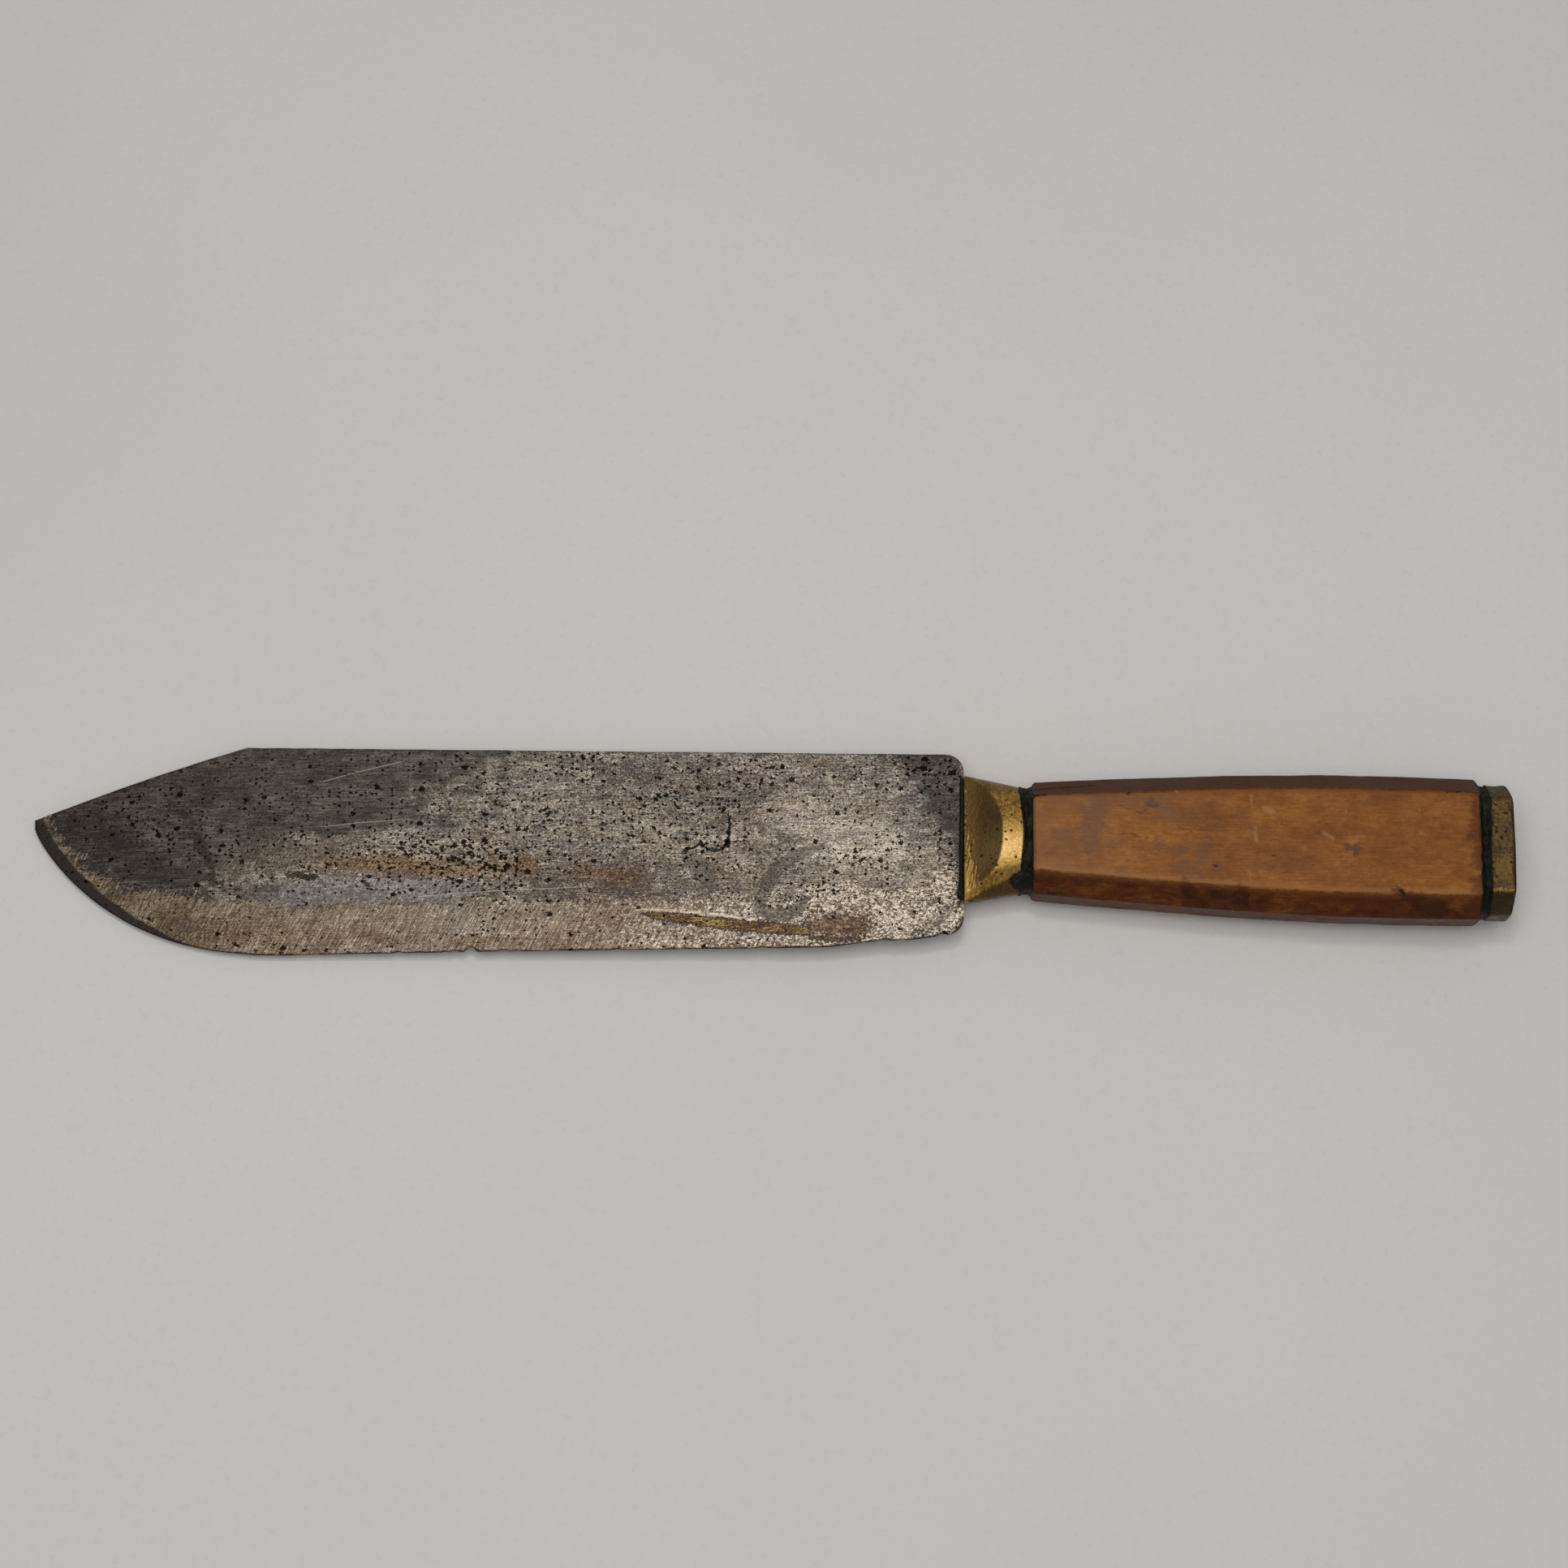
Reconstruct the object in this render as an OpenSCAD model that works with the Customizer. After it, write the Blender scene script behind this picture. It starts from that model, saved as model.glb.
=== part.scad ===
// An old butcher knife, lying on its side.
// X runs from the point to the butt, Y from the cutting edge to the spine, Z up through the blade's flat.

/* [Blade] */
// Length of the blade, from the point to the bolster
blade_l = 220; // [180:1:260]
// Height of the spine above the handle's centre line
spine_rise = 20.6; // [18:0.1:26]
// Depth of the belly below the handle's centre line
belly_depth = 29.7; // [26:0.1:36]
// Distance from the point to the deepest place of the belly
belly_l = 60; // [45:1:75]
// How far the edge rises, at an even rate, from the belly to the heel
edge_rise = 4; // [1:0.1:6]
// How much more the worn edge lifts near the heel
heel_lift = 3.4; // [0:0.1:5]
// Length of the stretch that lifts near the heel
heel_lift_l = 40; // [20:1:60]
// Length of the clipped part of the spine, from the point
clip_l = 49.5; // [30:0.5:70]
// Height of the point above the handle's centre line
point_rise = 1.2; // [0:0.1:6]
// Height of the blunt end of the point
point_h = 2; // [1:0.1:4]
// Radius of the two corners at the heel
heel_r = 4.3; // [2:0.1:6]
// Thickness of the spine at the heel
spine_t = 3.6; // [2.4:0.1:5]
// Thickness of the spine at the point
point_t = 1.5; // [1:0.1:2.2]
// Width of the ground strip above the edge
grind_w = 15; // [8:0.5:20]
// Thickness at the top of the ground strip, as a share of the spine's
grind_share = 0.62; // [0.5:0.01:0.8]
// Width of the sharpened bevel along the straight edge
bevel_w = 1.4; // [0.8:0.1:3]
// Width of the sharpened bevel round the front curve
front_bevel_w = 2.4; // [1.5:0.1:5]
// Thickness where the bevel starts
bevel_t = 0.7; // [0.4:0.05:1]
// Thickness left at the cutting edge
edge_t = 0.16; // [0.1:0.02:0.3]
// Distance of the nick in the edge from the bolster
nick_from_heel = 116; // [80:1:150]
// Width of the nick
nick_w = 4; // [2:0.1:8]
// Depth of the nick
nick_d = 1.1; // [0.4:0.1:2]

/* [Tang] */
// Height of the tang where it leaves the blade
tang_root_h = 12; // [9:0.5:14]
// Height of the tang at the butt end of the grip
tang_tail_h = 6.4; // [5.6:0.1:8]
// Thickness of the tang
tang_t = 3.2; // [2:0.1:4]
// Diameter of the round end that is riveted over the cap
rivet_d = 5; // [3:0.1:5.4]
// Diameter of the riveted head
head_d = 8; // [6:0.1:10]
// Depth of the countersink that holds the riveted head
head_l = 1.6; // [1:0.1:2]

/* [Bolster] */
// Length of the bolster
bolster_l = 13.2; // [10:0.1:20]
// Height of the bolster where it meets the blade
bolster_front_h = 31; // [27:0.1:34]
// Height of the bolster where it meets the seam
bolster_rear_h = 25.6; // [23:0.1:28]
// Thickness of the bolster at its collar
bolster_t = 18; // [15:0.1:19]
// Thickness of the bolster where it meets the blade
bolster_front_t = 7.4; // [6:0.1:9]
// Length of the sloping facet on each side
scoop_l = 8.6; // [6:0.1:9.5]
// Thickness of the front wall behind the blade's shoulder
bolster_wall = 3; // [2:0.1:5]
// Height of the hollow behind that wall
hollow_h = 16; // [14.5:0.1:18]
// Thickness of that hollow
hollow_t = 6.4; // [5:0.1:7]

/* [Pitch] */
// Thickness of the seam between the bolster and the grip
front_seam_l = 2.7; // [1:0.1:4]
// Thickness of the seam between the grip and the cap
rear_seam_l = 2.1; // [1:0.1:4]
// How far the seams lie below the wood beside them
seam_inset = 0.6; // [0.2:0.1:1]
// Width of the bead along the blade, in front of the bolster
bead_w = 1.1; // [0.6:0.1:2.5]
// Thickness of the pitch round the tang in the grip
bedding = 0.8; // [0.4:0.1:1.5]

/* [Grip] */
// Length of the wooden grip
grip_l = 105.4; // [90:0.1:125]
// Height of the grip at the bolster
grip_front_h = 27; // [25:0.1:30]
// Height of the grip where it swells most
grip_swell_h = 34.4; // [31:0.1:38]
// Where the grip swells most, as a share of its length
swell_at = 0.8; // [0.65:0.01:0.95]
// Thickness of the grip between its two wide flats
grip_t = 19; // [19:0.1:24]
// Height of the long corner facets
facet_h = 4.7; // [3:0.1:6]
// Depth of the long corner facets
facet_t = 5.6; // [3:0.1:7]
// Easing of the edges at both ends of the grip
ease = 0.9; // [0.3:0.1:1.5]
// How far the centre line falls from the blade to the butt
handle_drop = 2; // [0:0.1:6]

/* [End cap] */
// Length of the end cap
cap_l = 5.7; // [3:0.1:8]
// Height of the end cap
cap_h = 31.8; // [26:0.1:33]
// Thickness of the end cap
cap_t = 18.2; // [15:0.1:19]
// How far the butt face is bowed
cap_bow = 0.5; // [0.3:0.1:1.8]

/* [Hidden] */
$fn = 64;

seam_x = bolster_l;
grip_x = seam_x + front_seam_l;
rear_seam_x = grip_x + grip_l;
cap_x = rear_seam_x + rear_seam_l;
handle_l = cap_x + cap_l;

front_steps = 26;
plain_steps = 14;
corner_steps = 7;
clip_crown = 0.15;
belly_turn = 2.5;
belly_round = 0.82;
spine_round = 0.5;
spine_top_share = 0.6;
wear_power = 0.85;
point_crowding = 1.8;
bevel_share = 0.7;
bead_share = 0.92;
oval_steps = 44;
oval_power = 2.3;
bolster_steps = 12;
collar_dip = 0.9;
grip_steps = 26;
slot_gap = 0.2;
past = 1;

// Heights along the blade, where x is 0 at the bolster and -blade_l at the point
function from_point(x) = x + blade_l;
function clip_y(s) =
  let (low = point_rise + point_h / 2)
  low + (spine_rise - low) * (s + clip_crown * s * (1 - s));
function spine_y(x) =
  x > -heel_r ? spine_rise - heel_r + sqrt(max(0, pow(heel_r, 2) - pow(x + heel_r, 2)))
  : from_point(x) < clip_l ? clip_y(from_point(x) / clip_l)
  : spine_rise;
function belly_y(u) =
  let (low = point_rise - point_h / 2)
  low - (low + belly_depth) * pow(max(0, 1 - pow(1 - u, belly_turn)), belly_round);
function worn_y(x) =
  let (v = (from_point(x) - belly_l) / (blade_l - belly_l))
  let (w = max(0, 1 + x / heel_lift_l))
  -belly_depth + edge_rise * pow(max(0, v), wear_power) + heel_lift * w * w;
function nick_y(x) =
  let (s = abs(x + nick_from_heel) / (nick_w / 2))
  s < 1 ? nick_d * (1 - s) : 0;
function edge_y(x) =
  x > -heel_r ? worn_y(-heel_r) + heel_r - sqrt(max(0, pow(heel_r, 2) - pow(x + heel_r, 2)))
  : from_point(x) < belly_l ? belly_y(from_point(x) / belly_l)
  : worn_y(x) + nick_y(x);

// Thickness falls towards the point, the bevel widens round the front curve
function spine_at(x) = point_t + (spine_t - point_t) * from_point(x) / blade_l;
function bevel_at(x) =
  let (s = min(1, from_point(x) / belly_l))
  front_bevel_w + (bevel_w - front_bevel_w) * s;
function section(x) =
  let (top = spine_y(x))
  let (low = edge_y(x))
  let (high = top - low)
  let (round_h = min(spine_round, high / 6))
  let (bevel_h = min(bevel_at(x), high / 4))
  let (grind_h = min(grind_w, high * 0.6))
  let (half = spine_at(x) / 2)
  [
    [x, top, half * spine_top_share],
    [x, top - round_h, half],
    [x, low + grind_h, half * grind_share],
    [x, low + bevel_h, min(bevel_t / 2, half * grind_share * bevel_share)],
    [x, low, edge_t / 2]
  ];
function both_sides(half_ring) = concat(
  half_ring,
  [for (i = [len(half_ring) - 1 : -1 : 0]) [half_ring[i].x, half_ring[i].y, -half_ring[i].z]]
);
function spread(from, to, steps) = [for (i = [0 : steps - 1]) from + (to - from) * i / steps];
function blade_stations() = concat(
  [for (i = [0 : front_steps - 1]) -blade_l + belly_l * pow(i / front_steps, point_crowding)],
  spread(-blade_l + belly_l, -nick_from_heel - nick_w / 2, plain_steps),
  spread(-nick_from_heel - nick_w / 2, -nick_from_heel + nick_w / 2, 4),
  spread(-nick_from_heel + nick_w / 2, -heel_r, 2 * plain_steps),
  [for (i = [0 : corner_steps]) -heel_r + heel_r * sin(90 * i / corner_steps)]
);

// The handle's centre line
function centre_y(x) = -handle_drop * max(0, x) / handle_l;
function tang_h(x) = tang_root_h + (tang_tail_h - tang_root_h) * x / cap_x;

// The handle's sections
function oval(x, high, thick) = [
  for (i = [0 : oval_steps - 1])
    let (a = 360 * i / oval_steps)
    [
      x,
      centre_y(x) + high / 2 * sign(cos(a)) * pow(abs(cos(a)), 2 / oval_power),
      thick / 2 * sign(sin(a)) * pow(abs(sin(a)), 2 / oval_power)
    ]
];
function bolster_ring(x) =
  let (s = x / bolster_l)
  oval(
    x,
    bolster_front_h + (bolster_rear_h - bolster_front_h) * s,
    bolster_t - collar_dip * pow(2 * abs(s - 0.7), 2)
  );
function octagon(high, thick) = [
  [high / 2, thick / 2 - facet_t],
  [high / 2 - facet_h, thick / 2],
  [facet_h - high / 2, thick / 2],
  [-high / 2, thick / 2 - facet_t],
  [-high / 2, facet_t - thick / 2],
  [facet_h - high / 2, -thick / 2],
  [high / 2 - facet_h, -thick / 2],
  [high / 2, facet_t - thick / 2]
];
function grip_h(s) = grip_front_h + (grip_swell_h - grip_front_h) * sin(90 * s / swell_at);
function grip_ring(x, less) =
  let (high = grip_h((x - grip_x) / grip_l) - 2 * less)
  [for (p = octagon(high, grip_t - 2 * less)) [x, centre_y(x) + p.x, p.y]];
function grip_rings() = concat(
  [grip_ring(grip_x, ease)],
  [for (x = spread(grip_x + ease, rear_seam_x - ease, grip_steps)) grip_ring(x, 0)],
  [grip_ring(rear_seam_x - ease, 0)],
  [grip_ring(rear_seam_x, ease)]
);

// A closed solid through rings of points that all run the same way round
module loft(rings) {
  n = len(rings[0]);
  last = n * (len(rings) - 1);
  sides = [
    for (i = [0 : len(rings) - 2])
      for (j = [0 : n - 1])
        let (a = i * n + j)
        let (b = i * n + (j + 1) % n)
        each [[a, a + n, b], [b, a + n, b + n]]
  ];
  polyhedron(
    points = [for (ring = rings) each ring],
    faces = concat([[for (j = [0 : n - 1]) j]], sides, [[for (j = [n - 1 : -1 : 0]) last + j]])
  );
}

// A flat outline in height and thickness, drawn out along the handle
module bar(x, length) {
  translate([x, centre_y(x + length / 2), 0])
    rotate([90, 0, 90])
      linear_extrude(length)
        children();
}

// The blade's middle plane is half a grip above the floor, and the origin is under the middle of the box
module lying() {
  translate([(blade_l - handle_l) / 2, (belly_depth - spine_rise) / 2, grip_t / 2])
    children();
}

module blade_body() {
  loft([for (x = blade_stations()) both_sides(section(x))]);
}

module tang_body(extra = 0) {
  front = -past;
  back = rear_seam_x;
  translate([0, 0, -tang_t / 2 - extra])
    linear_extrude(tang_t + 2 * extra)
      polygon([
        [front, tang_h(front) / 2 + extra],
        [back, centre_y(back) + tang_h(back) / 2 + extra],
        [back, centre_y(back) - tang_h(back) / 2 - extra],
        [front, -tang_h(front) / 2 - extra]
      ]);
}

module rivet(extra = 0) {
  translate([rear_seam_x - past, centre_y(cap_x + cap_l / 2), 0])
    rotate([0, 90, 0])
      cylinder(d = rivet_d + 2 * extra, h = handle_l - rear_seam_x + past);
}

module rivet_head() {
  translate([handle_l - head_l, centre_y(cap_x + cap_l / 2), 0])
    rotate([0, 90, 0])
      cylinder(d1 = rivet_d, d2 = head_d, h = head_l);
}

module blade() {
  color("#7a736b")
    lying() {
      blade_body();
      tang_body();
      rivet();
      rivet_head();
    }
}

// Tapered hole through the grip, which the pitch fills round the tang
module grip_bore() {
  start = grip_x - past;
  end = rear_seam_x + past;
  fall = atan((centre_y(start) - centre_y(end)) / (end - start));
  translate([start, centre_y(start), 0])
    rotate([0, 90, -fall])
      cylinder(
        r1 = tang_h(start) / 2 + bedding,
        r2 = tang_h(end) / 2 + bedding,
        h = (end - start) / cos(fall)
      );
}

module hollow(extra = 0) {
  bar(bolster_wall, bolster_l - bolster_wall + extra)
    square([hollow_h, hollow_t], center = true);
}

module scoop() {
  slope = atan((bolster_t - bolster_front_t) / 2 / scoop_l);
  translate([0, 0, bolster_front_t / 2])
    rotate([0, -slope, 0])
      translate([-bolster_l, -bolster_front_h, 0])
        cube([3 * bolster_l, 2 * bolster_front_h, bolster_t]);
}

module bolster() {
  color("#8d6f2e")
    lying()
      difference() {
        loft([for (i = [0 : bolster_steps]) bolster_ring(bolster_l * i / bolster_steps)]);
        scoop();
        mirror([0, 0, 1]) scoop();
        tang_body(slot_gap);
        hollow(past);
      }
}

module bolster_fill() {
  color("#1c2620")
    lying()
      difference() {
        hollow();
        tang_body();
      }
}

module shoulder_bead() {
  high = bolster_front_h * bead_share;
  color("#1c2620")
    lying()
      difference() {
        translate([-bead_w, -high / 2, -bolster_front_t / 2])
          cube([bead_w, high, bolster_front_t]);
        blade_body();
      }
}

module front_seam() {
  high = min(bolster_rear_h, grip_front_h) - 2 * seam_inset;
  thick = min(bolster_t, grip_t) - 2 * seam_inset - collar_dip;
  color("#1c2620")
    lying()
      difference() {
        bar(seam_x, front_seam_l) polygon(octagon(high, thick));
        tang_body();
      }
}

module grip() {
  color("#7d5430")
    lying()
      difference() {
        loft(grip_rings());
        grip_bore();
      }
}

module tang_bedding() {
  color("#1c2620")
    lying()
      difference() {
        intersection() {
          grip_bore();
          translate([grip_x, -grip_swell_h, -grip_t])
            cube([grip_l, 2 * grip_swell_h, 2 * grip_t]);
        }
        tang_body();
      }
}

module rear_seam() {
  high = min(cap_h + 2 * seam_inset, grip_h(1) - 2 * seam_inset);
  color("#1c2620")
    lying()
      difference() {
        bar(rear_seam_x, rear_seam_l) polygon(octagon(high, grip_t - 2 * seam_inset));
        rivet();
      }
}

module end_cap() {
  radius = pow(cap_h / 2, 2) / (2 * cap_bow);
  color("#7a6430")
    lying()
      difference() {
        intersection() {
          bar(cap_x, cap_l) polygon(octagon(cap_h, cap_t));
          translate([handle_l - radius, centre_y(handle_l), 0])
            cylinder(r = radius, h = 2 * cap_t, center = true, $fn = 360);
        }
        rivet(slot_gap / 2);
        rivet_head();
      }
}

blade();
shoulder_bead();
bolster();
bolster_fill();
front_seam();
grip();
tang_bedding();
rear_seam();
end_cap();
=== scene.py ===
import math

import bpy
import numpy as np
from mathutils import Matrix, Vector, noise


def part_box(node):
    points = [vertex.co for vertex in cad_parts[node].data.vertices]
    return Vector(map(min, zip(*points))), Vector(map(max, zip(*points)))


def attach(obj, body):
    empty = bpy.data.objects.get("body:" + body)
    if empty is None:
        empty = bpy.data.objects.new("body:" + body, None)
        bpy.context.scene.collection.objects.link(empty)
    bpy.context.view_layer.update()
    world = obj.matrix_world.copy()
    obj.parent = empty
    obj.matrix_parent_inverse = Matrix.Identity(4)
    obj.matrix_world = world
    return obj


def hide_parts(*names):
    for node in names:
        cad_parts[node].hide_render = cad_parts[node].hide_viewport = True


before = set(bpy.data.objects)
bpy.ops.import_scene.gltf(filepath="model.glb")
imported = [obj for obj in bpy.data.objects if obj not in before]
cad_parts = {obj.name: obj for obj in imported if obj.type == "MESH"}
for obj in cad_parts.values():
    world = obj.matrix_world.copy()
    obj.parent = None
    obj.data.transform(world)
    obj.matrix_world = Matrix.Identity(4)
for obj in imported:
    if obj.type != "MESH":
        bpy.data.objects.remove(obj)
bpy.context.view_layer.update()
mm = 0.001
box = {name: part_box(name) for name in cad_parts}
print("frame loaded,", len(box), "nodes")

# The knife's own measures start at the bolster's front face, on the handle's centre line, in millimetres:
# x grows towards the butt, y towards the spine, z up through the flat of the blade.
spineRise = 20.6
handleDrop = 2.0
datum = Vector((box["bolster"][0].x, box["blade"][1].y - spineRise * mm, box["grip"][1].z / 2))
bladeLength = (datum.x - box["blade"][0].x) / mm
bellyDepth = (datum.y - box["blade"][0].y) / mm
bolsterLength = (box["bolster"][1].x - datum.x) / mm
gripStart = (box["grip"][0].x - datum.x) / mm
gripEnd = (box["grip"][1].x - datum.x) / mm
capStart = (box["end_cap"][0].x - datum.x) / mm
handleLength = (box["end_cap"][1].x - datum.x) / mm
gripThick = (box["grip"][1].z - box["grip"][0].z) / mm


# node kinds that come up again and again
mathKind, rangeKind, xyzKind = "ShaderNodeMath", "ShaderNodeMapRange", "ShaderNodeCombineXYZ"
noiseKind, cellKind, rampKind = "ShaderNodeTexNoise", "ShaderNodeTexVoronoi", "ShaderNodeValToRGB"
placeKind = "GeometryNodeSetPosition"


def centreY(x):
    return -handleDrop * np.maximum(0, x) / handleLength


def colour(text):
    # sRGB hex to linear
    parts = [int(text[i:i + 2], 16) / 255 for i in (1, 3, 5)]
    return tuple(c / 12.92 if c <= 0.04045 else ((c + 0.055) / 1.055) ** 2.4 for c in parts) + (1.0,)


def fill(tree, node, inputs):
    # links or sets a node's inputs, given by name or in their order
    for key, value in inputs.items() if isinstance(inputs, dict) else enumerate(inputs):
        if isinstance(value, bpy.types.NodeSocket):
            tree.links.new(value, node.inputs[key])
        else:
            node.inputs[key].default_value = value


def addNode(tree, kind, inputs=(), out=0, ramp=(), **settings):
    # adds one node with its settings and inputs, and hands back one output
    node = tree.nodes.new(kind)
    for key, value in settings.items():
        setattr(node, key, value)
    fill(tree, node, inputs)
    if ramp:
        stops = node.color_ramp.elements
        while len(stops) < len(ramp):
            stops.new(0.5)
        for stop, (place, shade) in zip(stops, ramp):
            stop.position = place
            stop.color = colour(shade)
    return node.outputs[out] if len(node.outputs) else node


def pattern(tree, size, detail=2.0, roughness=0.5, warp=0.0, turn=0, move=(0, 0, 0), kind=noiseKind,
            **settings):
    # a texture on Object coordinates, one feature of it being size millimetres long, wide and deep
    placed = addNode(tree, "ShaderNodeMapping", {
        "Vector": addNode(tree, "ShaderNodeTexCoord", out="Object"),
        "Location": [v * mm for v in move],
        "Rotation": (0, 0, math.radians(turn)),
        "Scale": [v * mm for v in size],
    }, vector_type="TEXTURE")
    inputs = {"Vector": placed, "Scale": 1.0}
    if kind == noiseKind:
        inputs.update({"Detail": detail, "Roughness": roughness, "Distortion": warp})
    return addNode(tree, kind, inputs, **settings)


def paint(tree, base, coats):
    # lays colours over one another: each shows where its value has passed from low to high, at its strength
    for value, low, high, strength, shade in coats:
        mask = addNode(tree, rangeKind, [value, low, high, 0.0, strength], interpolation_type="SMOOTHSTEP")
        over = colour(shade) if isinstance(shade, str) else shade
        base = addNode(tree, "ShaderNodeMix", {0: mask, 6: base, 7: over}, out=2, data_type="RGBA")
    return base


def total(tree, parts):
    # a weighted sum of (value, weight) pairs
    result = 0.0
    for value, weight in parts:
        result = addNode(tree, mathKind, [value, weight, result], operation="MULTIPLY_ADD")
    return result


def vary(tree, start, parts):
    # moves a tone or a distance up and down by (noise, weight) pairs, each noise staying about one half
    return total(tree, [(start, 1.0), (-sum(weight for value, weight in parts) / 2, 1.0)] + parts)


def newMaterial(name, marks=()):
    # a material, its tree and shader, and the numbers at the piece's points that it reads
    material = bpy.data.materials.new(name)
    material.use_nodes = True
    tree = material.node_tree
    numbers = {mark: addNode(tree, "ShaderNodeAttribute", out="Fac", attribute_name=mark) for mark in marks}
    return material, tree, tree.nodes["Principled BSDF"], numbers


def finishShader(tree, shader, height, strength, inputs, deep=1.0):
    # relief is height times deep millimetres, and the rest goes to the shader's own inputs
    bump = addNode(tree, "ShaderNodeBump", {"Height": height, "Strength": strength, "Distance": deep * mm})
    fill(tree, shader, {"Normal": bump, **inputs})


def toFrame(points):
    # from the knife's own millimetres to the frame's metres
    return (np.asarray(points, dtype=float) * mm + np.array(datum)).tolist()


def newPiece(name, points, edges, faces):
    mesh = bpy.data.meshes.new(name)
    mesh.from_pydata(points, edges, faces)
    mesh.shade_smooth()
    piece = bpy.data.objects.new(name, mesh)
    bpy.context.collection.objects.link(piece)
    return piece


def loft(name, rings, marks=None, looped=False):
    # closed skin through rings of points, given in the knife's own millimetres
    # looped joins the last ring to the first, for a piece with a hole through it
    rings = np.asarray(rings, dtype=float)
    if looped:
        rings = np.concatenate([rings, rings[:1]])
    count, around = rings.shape[:2]
    here = np.arange(count * around).reshape(count, around)
    if looped:
        here[-1] = here[0]
        rings = rings[:-1]
    nextUp = np.roll(here, -1, axis=1)
    faces = np.stack([here[:-1], nextUp[:-1], nextUp[1:], here[1:]], axis=-1).reshape(-1, 4).tolist()
    if not looped:
        faces += [here[0][::-1].tolist(), here[-1].tolist()]
    piece = newPiece(name, toFrame(rings.reshape(-1, 3)), [], faces)
    addMarks(piece, marks or {})
    return piece


def addMarks(piece, marks):
    # numbers at every point, which the finishes read by name
    for name, values in marks.items():
        layer = piece.data.attributes.new(name, "FLOAT", "POINT")
        layer.data.foreach_set("value", np.asarray(values, dtype=np.float32).ravel())


def rough(points, size, seed, octaves=3):
    # smooth seeded unevenness, about -1 to 1, with bumps that are size millimetres wide
    shift = Vector((seed * 7.3, seed * 3.1, seed * 5.7))
    return np.array([noise.fractal(Vector(p / size) + shift, 1.0, 2.0, octaves) for p in points])


def stretches(x, y, path):
    # for each stretch of a path: millimetres away, 1 on its left or -1, and the mark's half width there
    for (ax, ay, aw), (bx, by, bw) in zip(path[:-1], path[1:]):
        dx, dy = bx - ax, by - ay
        s = np.clip(((x - ax) * dx + (y - ay) * dy) / (dx ** 2 + dy ** 2), 0, 1)
        away = np.hypot(x - ax - s * dx, y - ay - s * dy)
        yield away, np.sign(dx * (y - ay) - dy * (x - ax)), aw + s * (bw - aw)


def nearAny(x, y, paths):
    # millimetres from each point to the nearest line, less the line's own half width there
    best = np.full(x.shape, 1e3)
    for path in paths:
        for away, left, half in stretches(x, y, path):
            best = np.minimum(best, away - half)
    return best


def acrossAny(x, y, paths):
    # signed millimetres to the nearest line, plus on its left, so a thin line stays exact between mesh points
    best = np.full(x.shape, 1e3)
    for path in paths:
        for away, left, half in stretches(x, y, path):
            best = np.where(away < np.abs(best), away * left, best)
    return best


def smooth(value, low, high):
    s = np.clip((value - low) / (high - low), 0, 1)
    return s * s * (3 - 2 * s)


# The handle's pieces are rings round its centre line: how far each reaches, direction by direction
turns = np.linspace(0, 2 * math.pi, 192, endpoint=False)


def ovalSides(high, thick):
    return [(0, high / 2), (90, thick / 2), (180, high / 2), (270, thick / 2)]


def octagonSides(high, thick, facetHigh, facetDeep):
    slant = math.degrees(math.atan2(facetHigh, facetDeep))
    away = (facetDeep * high / 2 + facetHigh * (thick / 2 - facetDeep)) / math.hypot(facetHigh, facetDeep)
    return ovalSides(high, thick) + [(a, away) for a in (slant, 180 - slant, 180 + slant, 360 - slant)]


def outline(turn, sides, sharp):
    # reach of a many-sided section whose sides are (direction, distance), its corners as crisp as sharp says
    reach = sum((np.maximum(0, np.cos(turn - math.radians(a))) / away) ** sharp for a, away in sides)
    return reach ** (-1 / sharp)


def fromArris(sides):
    # rough distance in millimetres from the nearest corner of a many-sided section, some 17 off its centre
    near = np.sort([np.cos(turns - math.radians(a)) / away for a, away in sides], axis=0)
    return 17 * (1 - near[-2] / near[-1])


def polarRings(x, reach):
    x = np.broadcast_to(np.asarray(x, dtype=float).reshape(len(reach), -1), reach.shape)
    return np.stack([x, centreY(x) + reach * np.cos(turns), reach * np.sin(turns)], axis=-1)


# Blade: forged and ground carbon steel
blade = {
    "pointRise": 1.2, "pointHeight": 2.0, "clipLength": 49.5, "clipCrown": 0.15,
    "bellyLength": 60.0, "edgeRise": 4.0, "heelLift": 3.4, "heelLiftLength": 40.0, "heelRadius": 4.3,
    "spineThick": 3.6, "pointThick": 1.5, "spineRound": 0.5,
    "grindWidth": 15.0, "grindShare": 0.62, "bevelWidth": 1.4, "frontBevelWidth": 2.4,
    "bevelThick": 0.7, "edgeThick": 0.16, "bellyPower": 2.5, "bellyRound": 0.82, "wearPower": 0.85,
    "stationGap": 0.42, "bellyStations": 110, "flankRows": (56, 26), "grindRows": (30, 16),
    "uneven": 0.05, "unevenSize": 16.0, "fineUneven": 0.011, "fineSize": 3.2, "waver": 0.06, "waverSize": 5.0,
    # the most of the height that each takes near the point
    "crownShare": 1 / 6, "grindMost": 0.6, "bevelMost": 0.45,
    # what the finish shows by the edge: width at the point and behind, and where it changes
    "stoneWidth": (3.6, 12.0), "stoneChanges": (6, 42), "darkWidth": (2.85, 0.3), "darkChanges": (10, 45),
}
# each chip in the edge: place along the blade, half width, depth
edgeChips = [
    (-115.9, 1.6, 1.25), (-119.6, 1.5, 0.35), (-121.9, 0.9, 0.2), (-108.3, 1.6, 0.3), (-104.9, 1.0, 0.2),
    (-132.8, 1.1, 0.3), (-96.0, 1.2, 0.15), (-81.5, 1.4, 0.18), (-66.0, 1.0, 0.14), (-47.5, 1.6, 0.2),
    (-22.0, 9.0, 0.55), (-19.0, 2.2, 0.3), (-14.6, 1.4, 0.25), (-5.2, 1.3, 0.4), (-152.0, 0.8, 0.12),
]

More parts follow.
